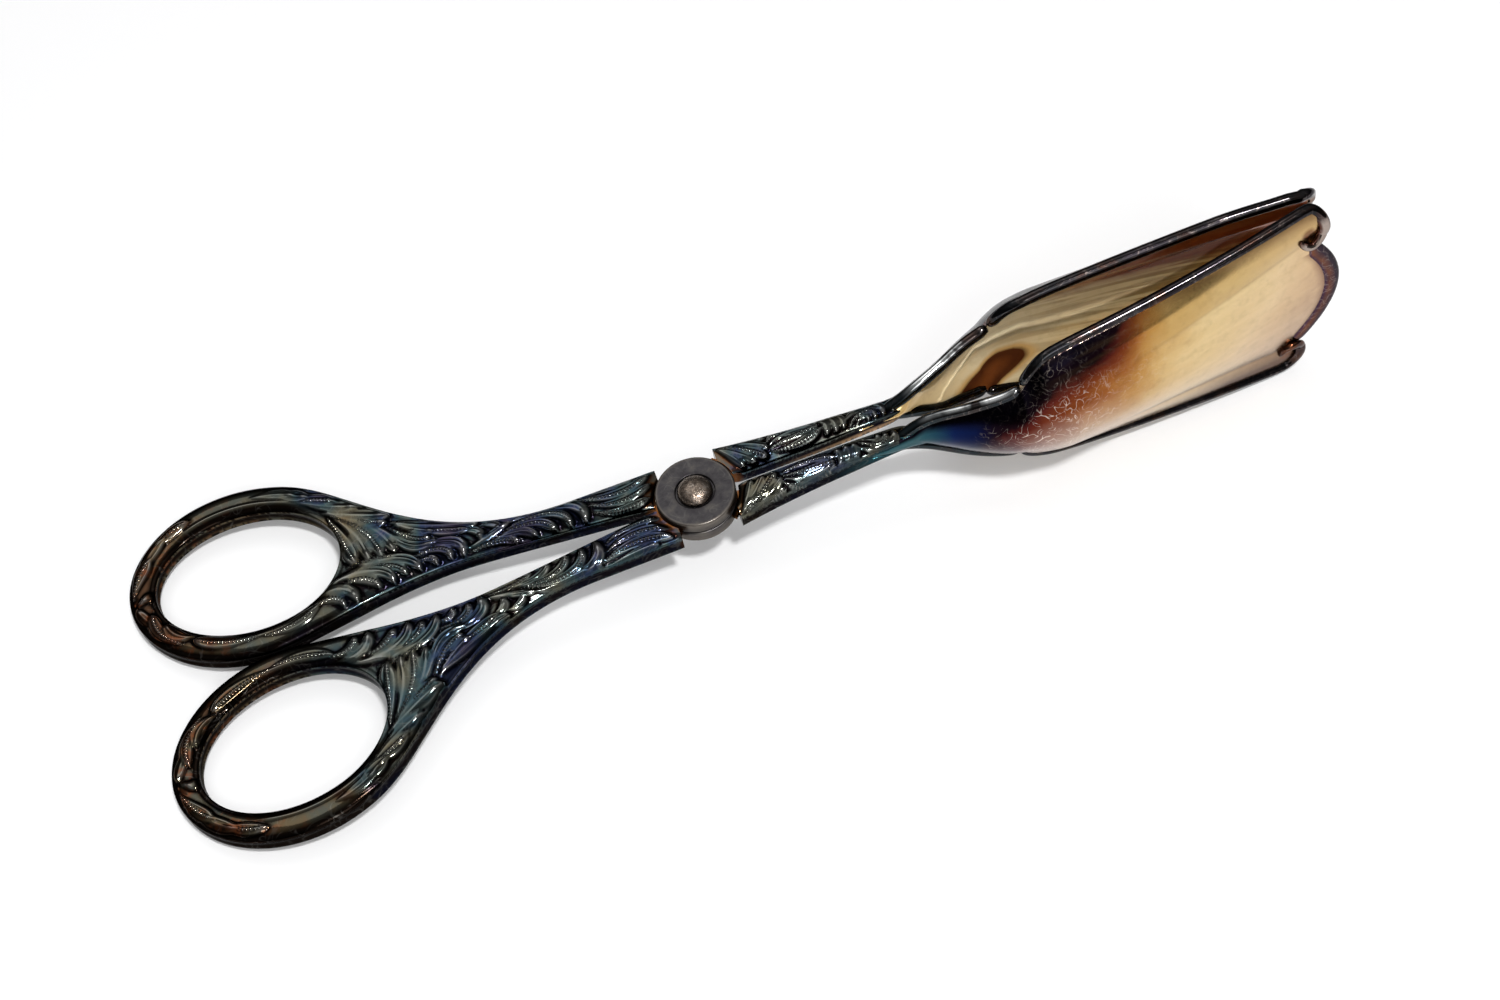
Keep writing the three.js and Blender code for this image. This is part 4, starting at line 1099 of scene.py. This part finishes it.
# Tip lips: a broad rolled edge round the middle lobe of each jaw, its ends tucked under the two
# scrolls, tarnished brown and purple.
lip_half, lip_width, lip_inset, lip_proud, lip_tuck, lip_points = 0.75, 1.60, 0.90, 0.45, 1.6, 110
lip_z = np.linspace(-(notch_half + lip_tuck), notch_half + lip_tuck, lip_points)
lip_x = middle_lobe_end(lip_z)
lip_y = -face_out(lip_x, lip_z) - lip_proud - three_lobes(lip_x, lip_z)
lip = moulding(np.column_stack([lip_x, lip_y, lip_z]), lip_half, lip_width, -lip_inset, 0.0)
lip_finish, tree = new_finish("tip_lip")
patch = place_group(tree, tarnish, Patch_Size=0.004)["Patch"]
mark = place_group(tree, marks, Scratch_Length=0.004)
roll = colour_ramp(spread(field(tree, "lip_across"), -1, 1), [
    (0.00, (0.030, 0.012, 0.026)), (0.16, (0.055, 0.026, 0.056)), (0.36, (0.170, 0.066, 0.036)),
    (0.55, (0.110, 0.050, 0.042)), (0.72, (0.034, 0.024, 0.034)), (1.00, (0.010, 0.009, 0.011))])
colour = layered(roll, (spread(patch, 0.2, 0.8, 0.0, 0.55), (0.040, 0.022, 0.034)),
                 (product(mark["Scratch"], 0.4), (0.40, 0.33, 0.30)))
dress(tree, {
    "Base Color": colour, "Metallic": 1.0, "Specular Tint": (0.5, 0.5, 0.5),
    "Roughness": spread(mark["Grain"], 0.3, 0.7, 0.16, 0.24), "Coat Weight": 0.1, "Coat Roughness": 0.10})
for jaw, body, sense in arms:
    surface = (set_in_arm(lip, sense), {"lip_across": across})
    piece = make_piece(f"{jaw}_tip_lip_roll", [surface], lip_finish, crease=60)
    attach(piece, body)
    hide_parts(f"{jaw}_jaw_tip_lip")

# Table: a plain white sheet under the tongs, wide enough to fill every view. To the camera and
# in reflections it is lifted a little, and more where the lamps don't reach, so that it reads
# white and keeps the shadow.
table_half = 15.0
table_mesh = bpy.data.meshes.new("white_table")
corners = [(-table_half, -table_half, 0), (table_half, -table_half, 0),
           (table_half, table_half, 0), (-table_half, table_half, 0)]
table_mesh.from_pydata(corners, [], [(0, 1, 2, 3)])
table = bpy.data.objects.new("white_table", table_mesh)
bpy.context.scene.collection.objects.link(table)
table_finish, tree = new_finish("white_table")
place = object_place(tree)
seen = add_node(tree, "ShaderNodeLightPath").outputs
seen_by = sums(seen["Is Camera Ray"], seen["Is Glossy Ray"], "MAXIMUM")
seen_by = sums(seen_by, seen["Is Transmission Ray"], "MAXIMUM")
away = add_node(tree, "ShaderNodeVectorMath", {0: place}, operation="LENGTH").outputs["Value"]
dress(tree, {
    "Base Color": blend(noise(place, 9.0, 2.0), (0.86, 0.86, 0.865), (0.89, 0.89, 0.89)),
    "Roughness": 0.8, "Specular IOR Level": 0.2, "Emission Color": (1, 1, 1),
    "Emission Strength": product(seen_by, spread(away, 0.35, 1.15, 0.12, 0.96))})
table_mesh.materials.append(table_finish)

# Studio light: a small soft lamp high in front of the tongs, two weak ones lower in front, a
# large weak one behind them, and a room that is bright overhead and dimmer at the table's level.
scene = bpy.context.scene
scene.view_settings.view_transform = "Standard"


def softbox(name, place, width, power):
    """A square lamp at a place, turned to face the middle of the tongs."""
    lamp = bpy.data.lights.new(name, "AREA")
    lamp.shape = "SQUARE"
    lamp.size = width
    lamp.energy = power
    lit = bpy.data.objects.new(name, lamp)
    lit.location = place
    lit.rotation_euler = (-Vector(place)).to_track_quat("-Z", "Y").to_euler()
    scene.collection.objects.link(lit)


softbox("key_lamp", (0.06, -0.36, 1.05), 0.11, 7.8)
softbox("front_lamp", (-0.06, -0.84, 0.86), 0.40, 2.4)
softbox("front_panel", (0.05, -1.20, 0.30), 0.80, 1.5)
softbox("back_lamp", (-0.20, 0.60, 1.00), 0.60, 1.5)
room = bpy.data.worlds.new("studio_room")
room.use_nodes = True
scene.world = room
tree = room.node_tree
way = add_node(tree, "ShaderNodeTexCoord").outputs["Generated"]
upness = add_node(tree, "ShaderNodeSeparateXYZ", {"Vector": way}).outputs["Z"]
glow = colour_ramp(spread(upness, 0.0, 1.0), [
    (0.00, (0.06, 0.06, 0.06)), (0.45, (0.10, 0.10, 0.10)), (0.75, (0.32, 0.32, 0.33)),
    (0.87, (0.56, 0.56, 0.56)), (0.95, (0.45, 0.45, 0.45)), (1.00, (0.42, 0.42, 0.42))])
link(glow, tree.nodes["Background"].inputs["Color"])
tree.nodes["Background"].inputs["Strength"].default_value = 1.0

# Camera: where the photograph was taken from, looking down over the rings toward the jaws.
camera_place = np.array([-25.42, -183.07, 283.72])
camera_azimuth, camera_elevation, camera_roll = np.radians([-10.509, 57.276, -11.669])
camera_lens, sensor_width = 50.21, 36.0
back = np.array([np.sin(camera_azimuth) * np.cos(camera_elevation),
                 -np.cos(camera_azimuth) * np.cos(camera_elevation), np.sin(camera_elevation)])
right = np.array([np.cos(camera_azimuth), np.sin(camera_azimuth), 0.0])
upward = np.cross(back, right)
rolled_right = np.cos(camera_roll) * right + np.sin(camera_roll) * upward
rolled_up = np.cos(camera_roll) * upward - np.sin(camera_roll) * right
aimed = own_axes.T @ np.stack([rolled_right, rolled_up, back], axis=1)
view = bpy.data.cameras.new("photo_camera")
view.sensor_width = sensor_width
view.sensor_fit = "HORIZONTAL"
view.lens = camera_lens
view.clip_start = 0.01
camera = bpy.data.objects.new("photo_camera", view)
camera.matrix_world = Matrix.Translation(Vector(lie(camera_place))) @ Matrix(aimed.tolist()).to_4x4()
scene.collection.objects.link(camera)
scene.camera = camera
